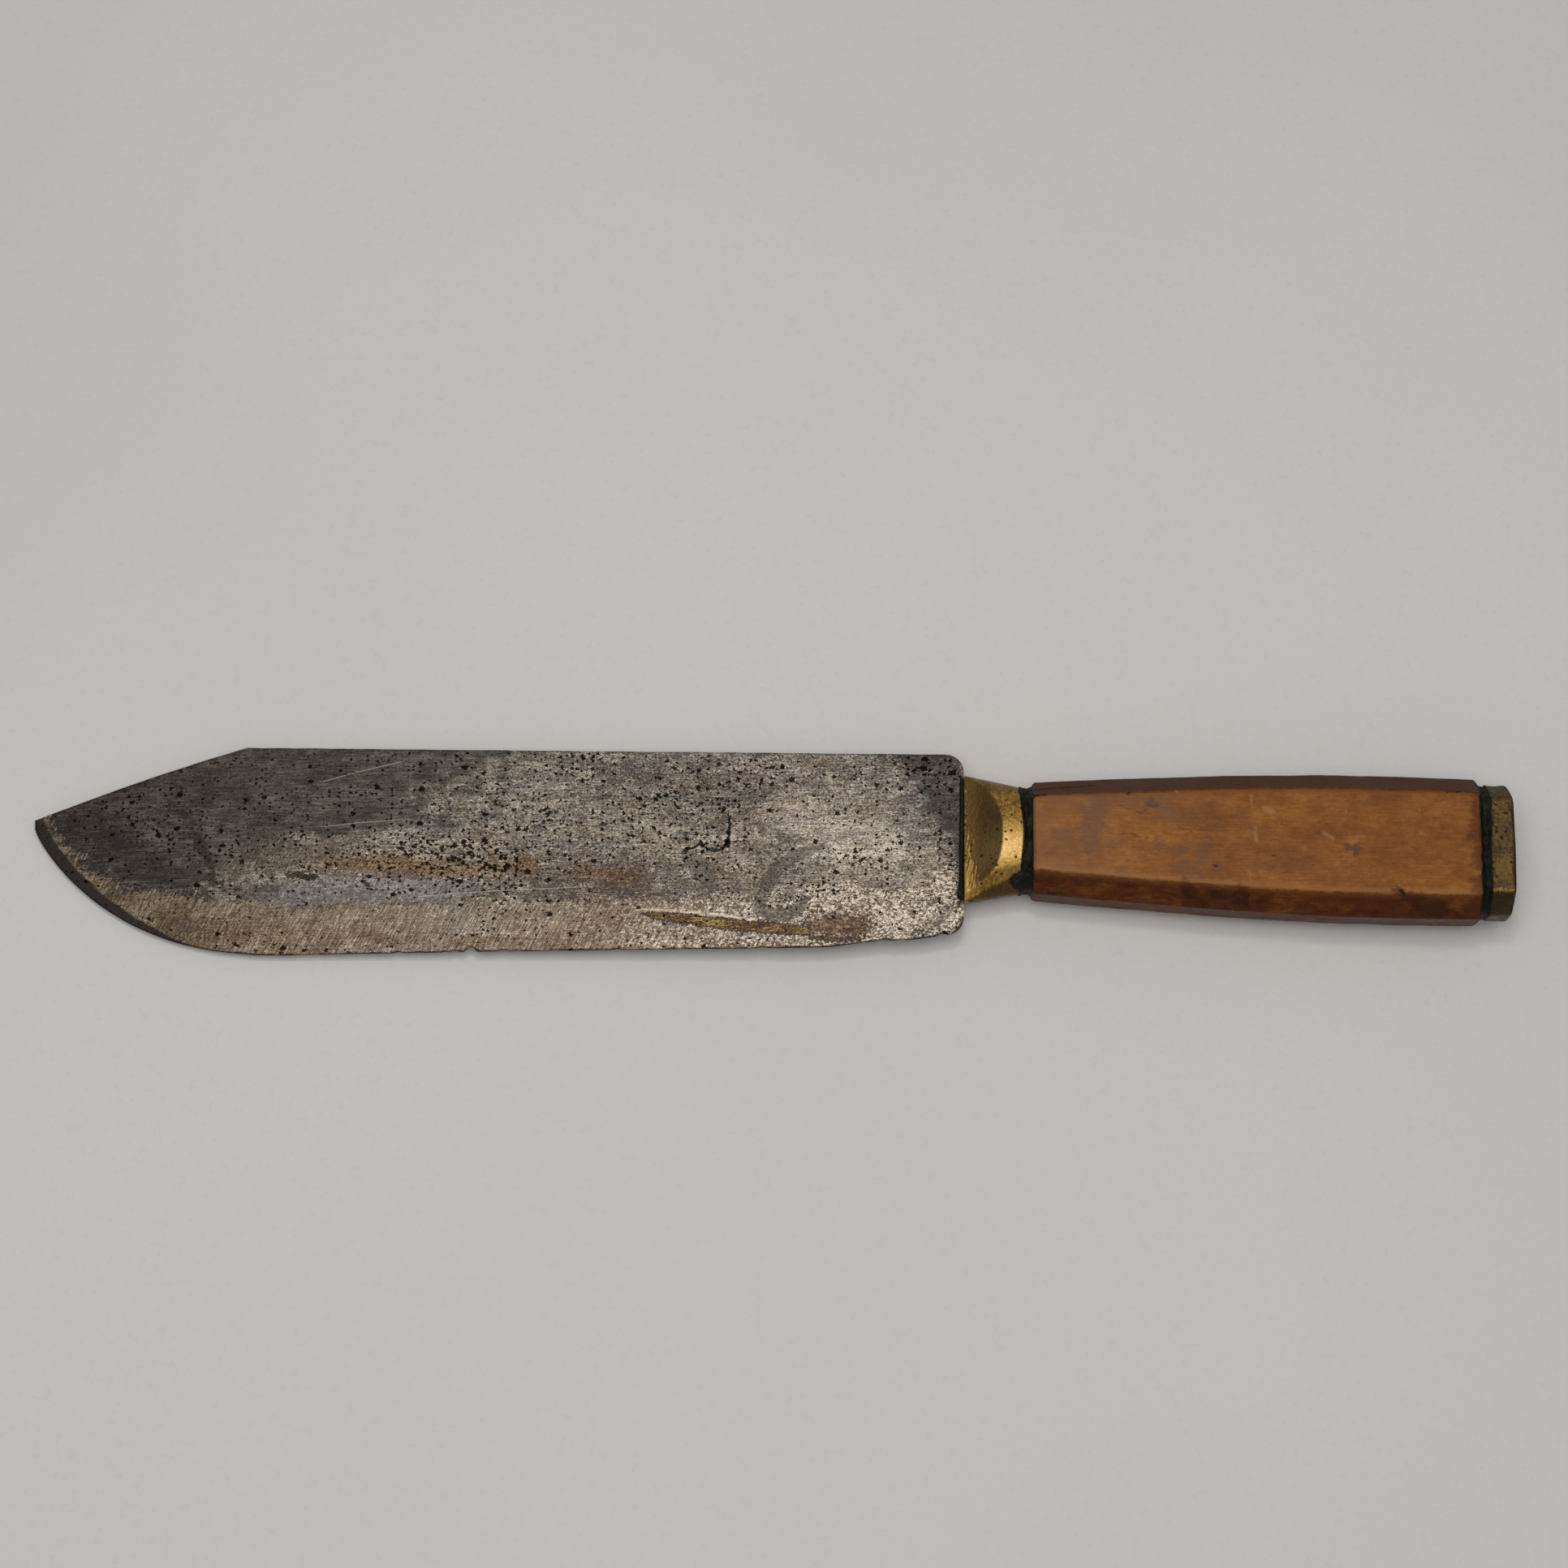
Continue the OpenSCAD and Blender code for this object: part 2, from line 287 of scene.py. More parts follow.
# Stains and cuts on the blade's upper flat, and places of painted sheen and shade: lines of points, each with
# half the mark's width there
bladeMarks = {
    "crack": [
        [(-65.7, -3.6, 0.15), (-63.4, -2.5, 0.35), (-62.1, -1.6, 0.2), (-60.9, -2.9, 0.3),
         (-59.4, -3.6, 0.45), (-57.5, -3.2, 0.35), (-56.3, -2.1, 0.25), (-55.6, 0.1, 0.25),
         (-55.4, 2.4, 0.15), (-55.6, 4.8, 0.35)],
    ],
    "rust": [
        [(-183.3, -0.9, 0.2), (-181.7, -1.4, 0.7), (-180.6, -3.7, 1.2), (-179.3, -5.2, 0.8),
         (-178.2, -7.2, 0.5), (-177.4, -10.1, 0.3), (-177.1, -12.7, 0.2), (-175.0, -12.5, 0.2)],
        [(-186.4, 4.7, 0.3), (-184.6, 4.0, 0.7)],
        [(-159.8, -10.5, 0.2), (-156.9, -10.3, 0.6), (-155.4, -10.9, 0.5), (-153.5, -10.9, 0.7)],
        [(-141.8, -11.4, 0.2), (-140.6, -12.6, 0.5)],
    ],
    "streak": [
        [(-76.0, -18.7, 0.1), (-73.4, -19.1, 0.8), (-70.0, -19.5, 1.1), (-64.0, -20.1, 1.2),
         (-58.0, -20.9, 1.4), (-52.0, -21.5, 1.4), (-46.0, -21.9, 1.25), (-41.0, -22.2, 1.2),
         (-37.0, -22.5, 1.1)],
        [(-36.0, -24.2, 0.5), (-30.0, -24.6, 0.5), (-24.4, -24.3, 0.2)],
    ],
    "cream": [
        [(-76.0, -17.8, 0.05), (-70.0, -18.0, 0.1), (-62.0, -18.5, 0.12), (-55.0, -19.3, 0.08),
         (-49.0, -20.0, 0.0)],
    ],
    "fade": [
        [(-35.0, -21.4, 2.2), (-30.0, -21.2, 2.8), (-24.6, -21.4, 2.4)],
    ],
    "grey": [
        [(-188.9, 0.0, 0.6), (-187.2, 0.4, 0.5)],
        [(-183.2, -10.0, 0.2), (-179.4, -10.0, 0.5)],
        [(-170.5, -15.8, 0.6), (-166.9, -15.5, 1.5), (-163.1, -14.3, 1.5), (-161.2, -12.9, 0.5)],
        [(-102.2, -11.3, 0.7), (-99.4, -13.8, 1.3), (-97.6, -16.4, 0.7)],
        [(-102.4, -15.4, 1.0), (-100.0, -13.4, 0.7), (-97.0, -11.9, 0.9)],
        [(-64.7, -5.2, 1.9), (-61.8, -8.3, 2.6), (-59.4, -12.2, 1.1)],
        [(-71.6, -5.6, 0.2), (-72.7, -9.0, 0.5), (-74.6, -12.4, 0.2)],
        [(-78.2, -9.0, 0.2), (-77.2, -12.4, 0.2), (-75.8, -14.6, 0.1)],
        [(-48.7, 2.9, 0.8), (-47.2, 0.9, 0.9)],
        [(-43.7, 0.6, 0.8), (-41.8, -0.6, 0.8)],
        [(-14.3, -6.6, 0.9), (-12.2, -7.2, 0.5)],
        [(-7.8, -15.4, 0.5), (-5.6, -14.1, 0.5)],
        [(-16.3, 4.8, 0.4), (-14.3, 6.2, 0.7)],
        [(-33.4, -2.4, 0.5), (-36.4, -3.3, 0.9), (-40.2, -4.8, 1.5), (-43.6, -7.0, 1.4),
         (-45.6, -10.0, 1.2), (-47.0, -13.4, 1.2), (-48.4, -17.0, 1.5), (-45.6, -18.7, 1.5),
         (-42.0, -18.7, 1.7), (-39.2, -17.2, 1.5), (-37.2, -14.6, 0.7)],
    ],
    "pale": [
        [(-38.6, -13.0, 0.5), (-34.6, -13.0, 1.4), (-29.6, -12.8, 1.9), (-25.6, -13.2, 2.1),
         (-23.6, -15.2, 1.2)],
        [(-19.2, -16.4, 1.0), (-17.0, -18.4, 2.6), (-15.6, -21.4, 3.0)],
        [(-8.2, -17.6, 0.8), (-3.6, -19.4, 1.2)],
        [(-110.4, -16.6, 0.2), (-106.6, -16.4, 0.5), (-104.2, -15.7, 0.2)],
    ],
    # a cool grey patch on the oxide, partly a painted bluish sheen
    "bluishSheen": [
        [(-166.0, -15.4, 0.6), (-160.0, -15.0, 2.2), (-148.2, -13.8, 3.0), (-142.3, -13.2, 3.2),
         (-127.8, -13.4, 2.6), (-118.0, -12.8, 1.2)],
    ],
    "dull": [
        [(-131.0, -8.4, 3.0), (-118.0, -10.0, 4.4), (-104.0, -11.0, 5.0), (-90.0, -11.0, 5.0),
         (-80.0, -11.0, 3.6)],
        [(-84.0, 14.0, 3.0), (-70.0, 12.0, 6.0), (-58.0, 11.0, 7.0), (-46.0, 12.0, 4.0)],
    ],
    # the steel lighter towards the heel: bare metal, partly a painted lamp sheen
    "bareAndSheen": [
        [(-40.0, 4.0, 6.0), (-32.0, 1.0, 8.5), (-20.0, -2.0, 8.0), (-14.0, -6.0, 5.0)],
    ],
    "brushed": [
        [(-177.0, -12.5, 1.0), (-171.0, -7.0, 3.5), (-161.0, -5.0, 4.5), (-150.0, -6.0, 4.0)],
    ],
    # shade: painted shade on the steel next to the bolster and at the heel's low corner
    "shade": [
        [(-18.0, 19.0, 1.0), (-10.0, 17.8, 3.6), (-4.0, 18.0, 4.8), (-5.0, 12.0, 5.4), (-3.0, 7.0, 4.2),
         (-1.2, 0.0, 2.2), (-0.4, -14.0, 1.2)],
        [(-10.4, -22.6, 0.8), (-6.0, -20.4, 1.2), (-3.4, -16.0, 0.6)],
    ],
    "warm": [
        [(-151.9, -6.9, 1.2), (-141.3, -7.9, 2.6), (-127.9, -8.2, 2.6), (-120.8, -9.2, 1.6),
         (-103.0, -7.2, 1.8)],
        [(-90.6, -8.4, 1.2), (-78.0, -9.9, 1.8)],
        [(-190.0, -19.6, 1.0), (-178.8, -23.8, 2.0), (-161.6, -25.4, 3.4), (-150.2, -25.2, 3.2),
         (-136.9, -24.9, 1.8)],
        [(-119.7, -26.2, 0.8), (-104.4, -25.6, 1.6), (-93.0, -25.9, 1.6)],
        [(-89.3, -21.9, 1.2), (-81.7, -19.5, 1.6)],
    ],
    "pitted": [
        [(-209.0, 1.0, 1.0), (-206.7, 2.4, 2.4), (-202.0, 1.0, 2.6), (-196.0, 2.0, 1.4)],
        [(-193.7, -3.0, 1.2), (-190.6, -0.4, 1.2)],
        [(-167.0, 7.8, 2.0), (-161.9, 2.5, 2.2)],
        [(-145.3, -3.9, 1.6), (-130.9, -3.0, 2.4), (-105.0, -3.6, 2.8), (-92.0, -6.0, 1.6)],
        [(-115.2, 13.3, 3.4), (-103.4, 4.5, 4.2)],
        [(-96.0, 17.5, 2.4), (-70.0, 16.7, 2.6)],
        [(-39.8, -13.6, 1.4), (-30.2, -13.8, 2.6), (-22.5, -13.4, 2.0)],
        [(-28.3, -5.6, 2.0), (-16.8, -8.4, 2.4)],
    ],
    "hairline": [
        [(-128.6, -15.3, 0.0), (-120.0, -14.5, 0.02), (-114.3, -14.0, 0.04), (-104.8, -13.4, 0.02),
         (-90.0, -12.6, 0.0)],
        [(-151.8, 12.5, 0.0), (-144.1, 14.8, 0.0), (-134.4, 17.3, 0.0)],
        [(-151.3, 1.4, 0.0), (-143.7, 2.4, 0.0), (-134.1, 3.2, 0.0)],
    ],
}

thinMarks = ("crack", "hairline")


def spineY(x):
    b = blade
    low = b["pointRise"] + b["pointHeight"] / 2
    s = np.clip((x + bladeLength) / b["clipLength"], 0, 1)
    clip = low + (spineRise - low) * (s + b["clipCrown"] * s * (1 - s))
    r = b["heelRadius"]
    heel = spineRise - r + np.sqrt(np.maximum(0, r * r - (x + r) ** 2))
    return np.where(x > -r, heel, clip)


def edgeY(x):
    b = blade
    low = b["pointRise"] - b["pointHeight"] / 2
    u = np.clip((x + bladeLength) / b["bellyLength"], 0, 1)
    belly = low - (low + bellyDepth) * np.maximum(0, 1 - (1 - u) ** b["bellyPower"]) ** b["bellyRound"]
    r = b["heelRadius"]

    def worn(at):
        v = np.maximum(0, (at + bladeLength - b["bellyLength"]) / (bladeLength - b["bellyLength"]))
        w = np.maximum(0, 1 + at / b["heelLiftLength"])
        return -bellyDepth + b["edgeRise"] * v ** b["wearPower"] + b["heelLift"] * w * w

    heel = worn(-r) + r - np.sqrt(np.maximum(0, r * r - (x + r) ** 2))
    plain = np.where(x > -r, heel, worn(x))
    for place, half, depth in edgeChips:
        s = np.clip(np.abs(x - place) / half, 0, 1)
        plain = plain + depth * (1 - s * s) ** 1.5
    return np.where(x + bladeLength < b["bellyLength"], belly, plain)


def makeBlade():
    b = blade
    r = b["heelRadius"]
    front = np.linspace(0, 1, b["bellyStations"], endpoint=False)
    front = -bladeLength + b["bellyLength"] * front ** 1.8  # closest at the point
    back = np.arange(front[-1] + b["stationGap"], -r, b["stationGap"])
    corner = -r + r * np.sin(np.linspace(0, math.pi / 2, 16))
    x = np.concatenate([front, back, corner])
    top, low = spineY(x), edgeY(x)
    high = top - low
    half = (b["pointThick"] + (b["spineThick"] - b["pointThick"]) * (x + bladeLength) / bladeLength) / 2
    crown = np.minimum(b["spineRound"], high * b["crownShare"])
    s = np.clip((x + bladeLength) / b["bellyLength"], 0, 1)
    steep = np.hypot(1, np.gradient(low, x))
    bevel = (b["frontBevelWidth"] + (b["bevelWidth"] - b["frontBevelWidth"]) * s ** 3) * np.minimum(steep, 2)
    bevel = np.minimum(bevel, high * b["bevelMost"])
    grind = np.minimum(b["grindWidth"], high * b["grindMost"])
    grindHalf = half * b["grindShare"]
    bevelHalf = np.minimum(b["bevelThick"] / 2, grindHalf * 0.7)

    def across(flankRows, grindRows):
        # rows that run the blade's length: how far below the spine, and half the thickness there
        rows = []
        for a in np.linspace(0, math.pi / 2, 6)[:-1]:
            rows.append((crown * (1 - math.cos(a)), half * (0.55 + 0.45 * math.sin(a))))
        for t in np.linspace(0, 1, flankRows, endpoint=False):
            rows.append((crown + (high - grind - crown) * t, half + (grindHalf - half) * t))
        for t in np.linspace(0, 1, grindRows, endpoint=False):
            rows.append((high - grind + (grind - bevel) * t, grindHalf + (bevelHalf - grindHalf) * t))
        for t in np.linspace(0, 1, 7):
            rows.append((high - bevel + bevel * t, bevelHalf + (b["edgeThick"] / 2 - bevelHalf) * t))
        return np.swapaxes(np.array(rows), 0, 1)

    # the upper side, which carries the marks, has the finer rows
    upperDepth, upperHalf = across(b["flankRows"][0], b["grindRows"][0])
    lowerDepth, lowerHalf = across(b["flankRows"][1], b["grindRows"][1])
    depth = np.concatenate([upperDepth, lowerDepth[::-1]]).T
    wide = np.concatenate([upperHalf, -lowerHalf[::-1]]).T
    rings = np.stack([np.broadcast_to(x[:, None], depth.shape), top[:, None] - depth, wide], axis=-1)
    # hammer and grinder left the flats a little uneven
    flat = rings.reshape(-1, 3)
    swell = rough(flat * np.array([1, 1, 4]), b["unevenSize"], 3, 2) * b["uneven"]
    swell += rough(flat * np.array([1, 1, 4]), b["fineSize"], 5, 2) * b["fineUneven"]
    calm = smooth(np.abs(flat[:, 2]), 0.1, 0.6)
    flat[:, 2] += np.sign(flat[:, 2]) * swell * calm
    waver = rough(flat * np.array([1, 0, 0]), b["waverSize"], 9, 2) * b["waver"]
    flat[:, 1] += waver * smooth(-flat[:, 0], 1, 6)
    # marks that the finish reads, all in millimetres
    px, py, pz = flat.T
    fromEdge = nearAny(px, py, [np.stack([x, low, 0 * x], axis=1)[::2]])
    fromPoint = px + bladeLength
    marks = {"fromPoint": fromPoint, "fromSpine": np.repeat(top, depth.shape[1]) - py}
    for name, kind in (("grind", "stone"), ("bevel", "dark")):
        tip, rest = b[kind + "Width"]
        marks[name] = tip + (rest - tip) * smooth(fromPoint, *b[kind + "Changes"]) - fromEdge
    for name, paths in bladeMarks.items():
        away = acrossAny if name in thinMarks else nearAny
        marks[name] = np.where(pz > 0, away(px, py, paths), 50.0)
    return loft("bladeSteel", rings, marks)


def steelFinish():
    # Forged carbon steel, ground by hand and never polished again: grey-brown oxide mottled with bright bare
    # specks, black rust pits in drifts, and short slanting strokes where a stone has cut the edge
    material, t, shader, m = newMaterial(
        "pittedCarbonSteel", ["fromPoint", "fromSpine", "grind", "bevel", *bladeMarks])
    fleck = pattern(t, (0.75, 0.54, 0.7), detail=3.0, roughness=0.66, warp=0.8)
    grain = pattern(t, (0.42, 0.32, 0.4), warp=0.4, move=(7, 3, 2))
    drawn = pattern(t, (4.5, 0.3, 3.0), detail=3.0, roughness=0.6, warp=0.3, turn=2)
    strokes = pattern(t, (2.6, 0.24, 1.5), warp=0.2, turn=63)
    blotch = pattern(t, (4.4, 2.9, 4.0), detail=5.0, roughness=0.7, warp=0.5)
    clouds = pattern(t, (26, 12, 20), detail=5.0, roughness=0.62, move=(40, 10, 3))
    hues = pattern(t, (15, 5, 10), detail=4.0, roughness=0.6, move=(12, 4, 0))
    soft = {name: vary(t, m[name], [(blotch, 7.0), (fleck, 4.0)])
            for name in ("warm", "dull", "brushed", "bluishSheen", "fade", "pale", "shade", "bareAndSheen")}
    crisp = {name: vary(t, m[name], [(blotch, 1.5), (fleck, 1.6), (grain, 0.8)])
             for name in ("grey", "rust", "streak", "cream")}
    thin = {name: addNode(t, mathKind, [m[name]], operation="ABSOLUTE") for name in thinMarks}
    thin["crack"] = vary(t, thin["crack"], [(fleck, 0.9), (grain, 0.7)])
    # how much lighter or darker the oxide is, place by place: lighter at the heel, partly painted lamp sheen,
    # and painted shade by the bolster
    bareAndSheen = addNode(t, rangeKind, [soft["bareAndSheen"], 5.0, -5.0, 0.0, 0.2])
    dulled = addNode(t, rangeKind, [soft["dull"], 4.0, -3.0, 0.0, -0.11])
    paintedShade = addNode(t, rangeKind, [soft["shade"], 3.0, -3.0, 0.0, -0.16])
    frontTone = addNode(t, rangeKind, [m["fromPoint"], 12.0, 80.0, 0.36, 0.58])
    stripTone = addNode(t, rangeKind, [m["fromPoint"], 28.0, 72.0, 0.33, 0.5])
    heelTone = addNode(t, rangeKind, [m["fromPoint"], 130.0, 190.0, -0.035, 0.055])
    coarse = addNode(t, rangeKind, [m["fromPoint"], 120.0, 205.0, 0.8, 5.2])
    oxide = vary(t, 0.5, [(fleck, 1.35), (grain, 1.3), (drawn, 0.8), (blotch, 1.1), (clouds, 0.5)])
    ground = vary(t, stripTone, [(strokes, 1.0), (grain, 0.8), (drawn, 0.6), (blotch, 0.6), (clouds, 0.4)])
    specks = total(t, [(fleck, 1.0), (-0.5, 1.0)])
    tones = {
        "plain": total(t, [(oxide, 1.0), (bareAndSheen, 1.0), (dulled, 1.0), (paintedShade, 1.0)]),
        "front": vary(t, frontTone, [(fleck, 0.9), (grain, 0.6), (drawn, 1.0), (blotch, 1.2), (clouds, 0.9)]),
        "stroke": total(t, [(ground, 1.0), (heelTone, 1.0), (specks, coarse), (paintedShade, 0.8)]),
        "speck": vary(t, 0.5, [(fleck, 1.8), (grain, 1.4)]),
    }
    ramps = {
        "plain": ("plain", [(0.22, "#291c0d"), (0.38, "#4e433a"), (0.5, "#665b51"), (0.62, "#7c7266"),
                            (0.78, "#9f9285"), (0.95, "#cabdad")]),
        "front": ("front", [(0.22, "#0d0404"), (0.38, "#2b231c"), (0.5, "#383128"), (0.62, "#453e37"),
                            (0.8, "#5e574e")]),
        "stone": ("stroke", [(0.15, "#35260d"), (0.25, "#4e3e2b"), (0.33, "#5f513f"), (0.42, "#6e5f4e"),
                             (0.5, "#786a5b"), (0.57, "#84776a"), (0.66, "#978a7a"), (0.78, "#baab9a"),
                             (0.93, "#dccfbe")]),
        "brushed": ("stroke", [(0.3, "#35291e"), (0.45, "#54493e"), (0.6, "#6e6153"), (0.8, "#8c7e6d")]),
        "bluishSheen": ("stroke", [(0.3, "#4e4845"), (0.5, "#696466"), (0.7, "#868185")]),
        "brown": ("stroke", [(0.3, "#351e04"), (0.5, "#61492d"), (0.7, "#866e53")]),
        "grey": ("plain", [(0.3, "#352c23"), (0.5, "#534b43"), (0.7, "#71685e")]),
        "rust": ("speck", [(0.3, "#040404"), (0.5, "#1b1004"), (0.7, "#3a2807")]),
        "streak": ("plain", [(0.25, "#150404"), (0.42, "#472c04"), (0.56, "#684c1e"), (0.8, "#a0895a")]),
        "fade": ("plain", [(0.29, "#220404"), (0.52, "#4e371b"), (0.74, "#765e41"), (0.94, "#a38b69")]),
        "pale": ("speck", [(0.26, "#413323"), (0.4, "#706354"), (0.5, "#948776"), (0.6, "#baab99"),
                           (0.74, "#dccfbe")]),
    }
    shade = {name: addNode(t, rampKind, {"Fac": tones[tone]}, ramp=stops)
             for name, (tone, stops) in ramps.items()}
    belowSpine = addNode(t, rangeKind, [m["fromSpine"], 4.0, 26.0, 0.46, 0.53])
    hue = vary(t, belowSpine, [(hues, 1.0), (blotch, 0.4)])
    casts = [(hue, 0.46, 0.66, 0.16, "#745c3e"), (hue, 0.54, 0.34, 0.16, "#5e5c63")]
    plain, stone = [paint(t, shade[name], casts) for name in ("plain", "stone")]
    # the dark front, patina with a painted dark reflection over it, reaches furthest at the spine, and less
    # far from a third of the way down
    crown = addNode(t, rangeKind, [m["fromSpine"], 1.0, 11.0, -20.0, 0.0])
    bend = addNode(t, rangeKind, [m["fromSpine"], 18.6, 20.4, 0.0, 20.0])
    slant = addNode(t, rangeKind, [m["fromSpine"], 20.4, 30.0, 0.0, 26.0])
    frontEdge = total(t, [(m["fromPoint"], 1.0), (crown, 1.0), (bend, 1.0), (slant, 1.0)])
    frontEdge = vary(t, frontEdge, [(clouds, 40.0), (blotch, 34.0)])
    stoneEdge = vary(t, m["grind"], [(strokes, 5.0), (blotch, 10.0), (fleck, 4.0)])
    bevelEdge = vary(t, m["bevel"], [(blotch, 2.0), (fleck, 1.2)])
    tint = paint(t, plain, [
        (soft["warm"], 1.8, -1.8, 0.7, shade["brown"]),
        # dark patina at the front, partly a painted dark reflection
        (frontEdge, 116.0, 86.0, 0.5, shade["front"]),
        (frontEdge, 94.0, 86.0, 0.97, shade["front"]),
        (soft["brushed"], 1.6, -2.5, 0.85, shade["brushed"]),
        # painted bluish sheen over a cool patch of oxide
        (soft["bluishSheen"], 2.2, -1.6, 0.7, shade["bluishSheen"]),
        (stoneEdge, -0.9, 0.9, 0.94, stone),
        (soft["warm"], 1.8, -1.8, 0.45, shade["brown"]),
        (soft["fade"], 1.6, -1.0, 0.9, shade["fade"]),
        (soft["pale"], 0.7, -0.5, 0.85, shade["pale"]),
        (crisp["grey"], 0.4, 0.1, 0.5, "#31261e"),
        (crisp["grey"], 0.05, -0.35, 0.65, shade["grey"]),
        (crisp["streak"], 0.35, 0.1, 0.85, "#1a0e04"),
        (crisp["streak"], -0.05, -0.35, 0.95, shade["streak"]),
        (crisp["cream"], 0.3, 0.0, 0.65, "#d6c8ab"),
        (crisp["rust"], 0.5, 0.15, 0.95, shade["rust"]),
        # painted shade by the bolster
        (soft["shade"], 2.6, -2.6, 0.62, "#0c0806"),
        # the edge bevel near black: dark patina, partly a painted dark reflection off its steeper slope
        (bevelEdge, -0.15, 0.25, 0.94, "#100404"),
    ])
    drift = addNode(t, rangeKind, [m["pitted"], 3.5, -1.5, 0.0, -0.13])
    fewer = addNode(t, rangeKind, [stoneEdge, -1.0, 1.5, 0.0, 0.14])
    atFront = addNode(t, rangeKind, [m["fromPoint"], 50.0, 100.0, 0.06, 0.0])
    # no pits in the spine itself, where these flat cells would run down its whole thickness
    onSpine = addNode(t, rangeKind, [m["fromSpine"], 0.2, 0.9, 0.8, 0.0])
    pits = []
    sorts = [(5.2, 0.81, 1.6, 0.35), (2.5, 0.61, 1.1, 0.55), (1.25, 0.45, 0.78, 1.1)]
    for size, odds, reach, gather in sorts:
        # each cell has its own chance of a pit, and the drifts hold more of them, most of all small ones
        cell = pattern(t, (size, size * 0.85, size), kind=cellKind, voronoi_dimensions="2D")
        chance = addNode(t, "ShaderNodeSeparateColor", [cell.node.outputs["Color"]])
        away = total(t, [(odds, 1.0), (cell, size), (chance, -reach), (drift, gather), (fewer, 1.0),
                         (atFront, 1.0), (onSpine, 1.0)])
        pits.append(vary(t, away, [(blotch, -0.8), (clouds, -1.4), (grain, 1.0), (fleck, 1.6)]))
    pit = addNode(t, mathKind, [pits[0], pits[1]], operation="MINIMUM")
    pit = addNode(t, mathKind, [pit, pits[2]], operation="MINIMUM")
    tint = paint(t, tint, [
        (pit, 0.05, -0.05, 0.95, "#050403"),
        (thin["hairline"], 0.14, 0.03, 0.45, "#b1aba2"),
        (thin["crack"], 0.44, 0.24, 1.0, "#050403"),
    ])
    # the pits are matt inside
    sheen = addNode(t, rangeKind, [pit, -0.06, 0.06, 0.03, 0.25])
    scored = addNode(t, rangeKind, [stoneEdge, -0.9, 0.9, 0.0, 0.09])
    sunk = addNode(t, rangeKind, [pit, -0.12, 0.05, -0.16, 0.0])
    split = addNode(t, rangeKind, [thin["crack"], 0.1, 0.45, -0.3, 0.0])
    height = total(t, [
        (fleck, 0.1), (grain, 0.04), (drawn, 0.04), (strokes, scored), (sunk, 1.0), (split, 1.0)])
    gloss = vary(t, 0.52, [(fleck, 0.7), (strokes, -0.3), (blotch, 0.5)])
    finishShader(t, shader, height, 0.6, {
        "Base Color": tint, "Metallic": 0.3, "Roughness": gloss, "Specular IOR Level": sheen})
    return material


bladeSteel = makeBlade()
bladeSteel.data.materials.append(steelFinish())
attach(bladeSteel, "root")
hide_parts("blade")
print("blade made,", len(bladeSteel.data.polygons), "faces")


# Tang: forged with the blade, hidden in the handle, its end riveted over the cap
tang = {
    "rootHigh": 12.0, "tailHigh": 6.4, "thick": 3.2, "into": 0.6,
    "neck": 2.9, "rivetWide": 5.0, "headWide": 7.9, "headDeep": 1.6, "headCrown": 0.25,
    "lobes": 5, "lobeDeep": 0.06,
}


def makeTang():
    b = tang
    root, tail = ovalSides(b["rootHigh"], b["thick"]), ovalSides(b["tailHigh"], b["thick"])
    rivet = ovalSides(b["rivetWide"], b["rivetWide"])
    head, neck = handleLength - b["headDeep"], capStart - b["neck"]
    steps = [(-b["into"], root, 16), (neck, tail, 16), (neck, rivet, 2), (head, rivet, 2)]
    places = [x for x, sides, sharp in steps]
    reaches = [outline(turns, sides, sharp) for x, sides, sharp in steps]
    for a in np.linspace(0, 1, 7):
        # hammered over: the rim lies in the countersink, the middle stands a little proud
        places.append(handleLength - 0.1 + b["headCrown"] * math.sin(a * math.pi / 2))
        reaches.append(np.full(turns.shape, b["headWide"] / 2 * math.cos(a * math.pi / 2) + 0.02))
    reaches = np.array(reaches)
    rings = polarRings(np.array(places), reaches)
    lobes = b["lobeDeep"] * np.sin(b["lobes"] * turns + 1) * np.sin(reaches)
    rings[:, :, 0] += lobes * (np.array(places) > head + 1)[:, None]
    # the finish is the blade's, here with none of its marks
    far = np.full(rings.shape[:2], 50.0)
    plain = {"fromPoint": far + 40, "fromSpine": far - 30, "grind": -far, "bevel": -far}
    return loft("tangSteel", rings, {**plain, **{name: far for name in bladeMarks}})


# Bolster: one brass casting with a sloping facet on each side and a round collar behind
bolster = {
    "frontHigh": 31.0, "rearHigh": 25.6, "thick": 18.0, "collarDip": 0.9, "collarPlace": 0.7,
    "ovalPower": 2.3, "frontThick": 7.4, "scoopThick": 18.0, "scoopLength": 8.6, "scoopHollow": 0.42,
    "scoopEdge": 0.16, "skin": 0.06, "skinSize": 5.5, "fileMarks": 0.02, "fileSize": 2.4,
    "uneven": 0.08, "unevenSize": 7.0, "innerCrisp": 20,
    "chamferTurn": 41.7, "chamferAway": 12.9, "chamferFall": 0.17, "crisp": 60,
    "edgeRound": 0.4, "rimBulge": 0.6, "slotHigh": 12.4, "slotThick": 3.6, "wall": 3.0,
    "hollowHigh": 16.0, "hollowThick": 6.4,
}


def bolsterOutline(x):
    b = bolster
    s = x / bolsterLength
    high = b["frontHigh"] + (b["rearHigh"] - b["frontHigh"]) * s
    thick = b["thick"] - b["collarDip"] * (2 * np.abs(s - b["collarPlace"])) ** 2
    reach = outline(turns, ovalSides(high, thick), b["ovalPower"])
    # the lower corners are filed off in two flats
    for a in (180 - b["chamferTurn"], 180 + b["chamferTurn"]):
        cut = (b["chamferAway"] - b["chamferFall"] * x) / np.maximum(0.05, np.cos(turns - math.radians(a)))
        reach = (reach ** -b["crisp"] + cut ** -b["crisp"]) ** (-1 / b["crisp"])
    return reach


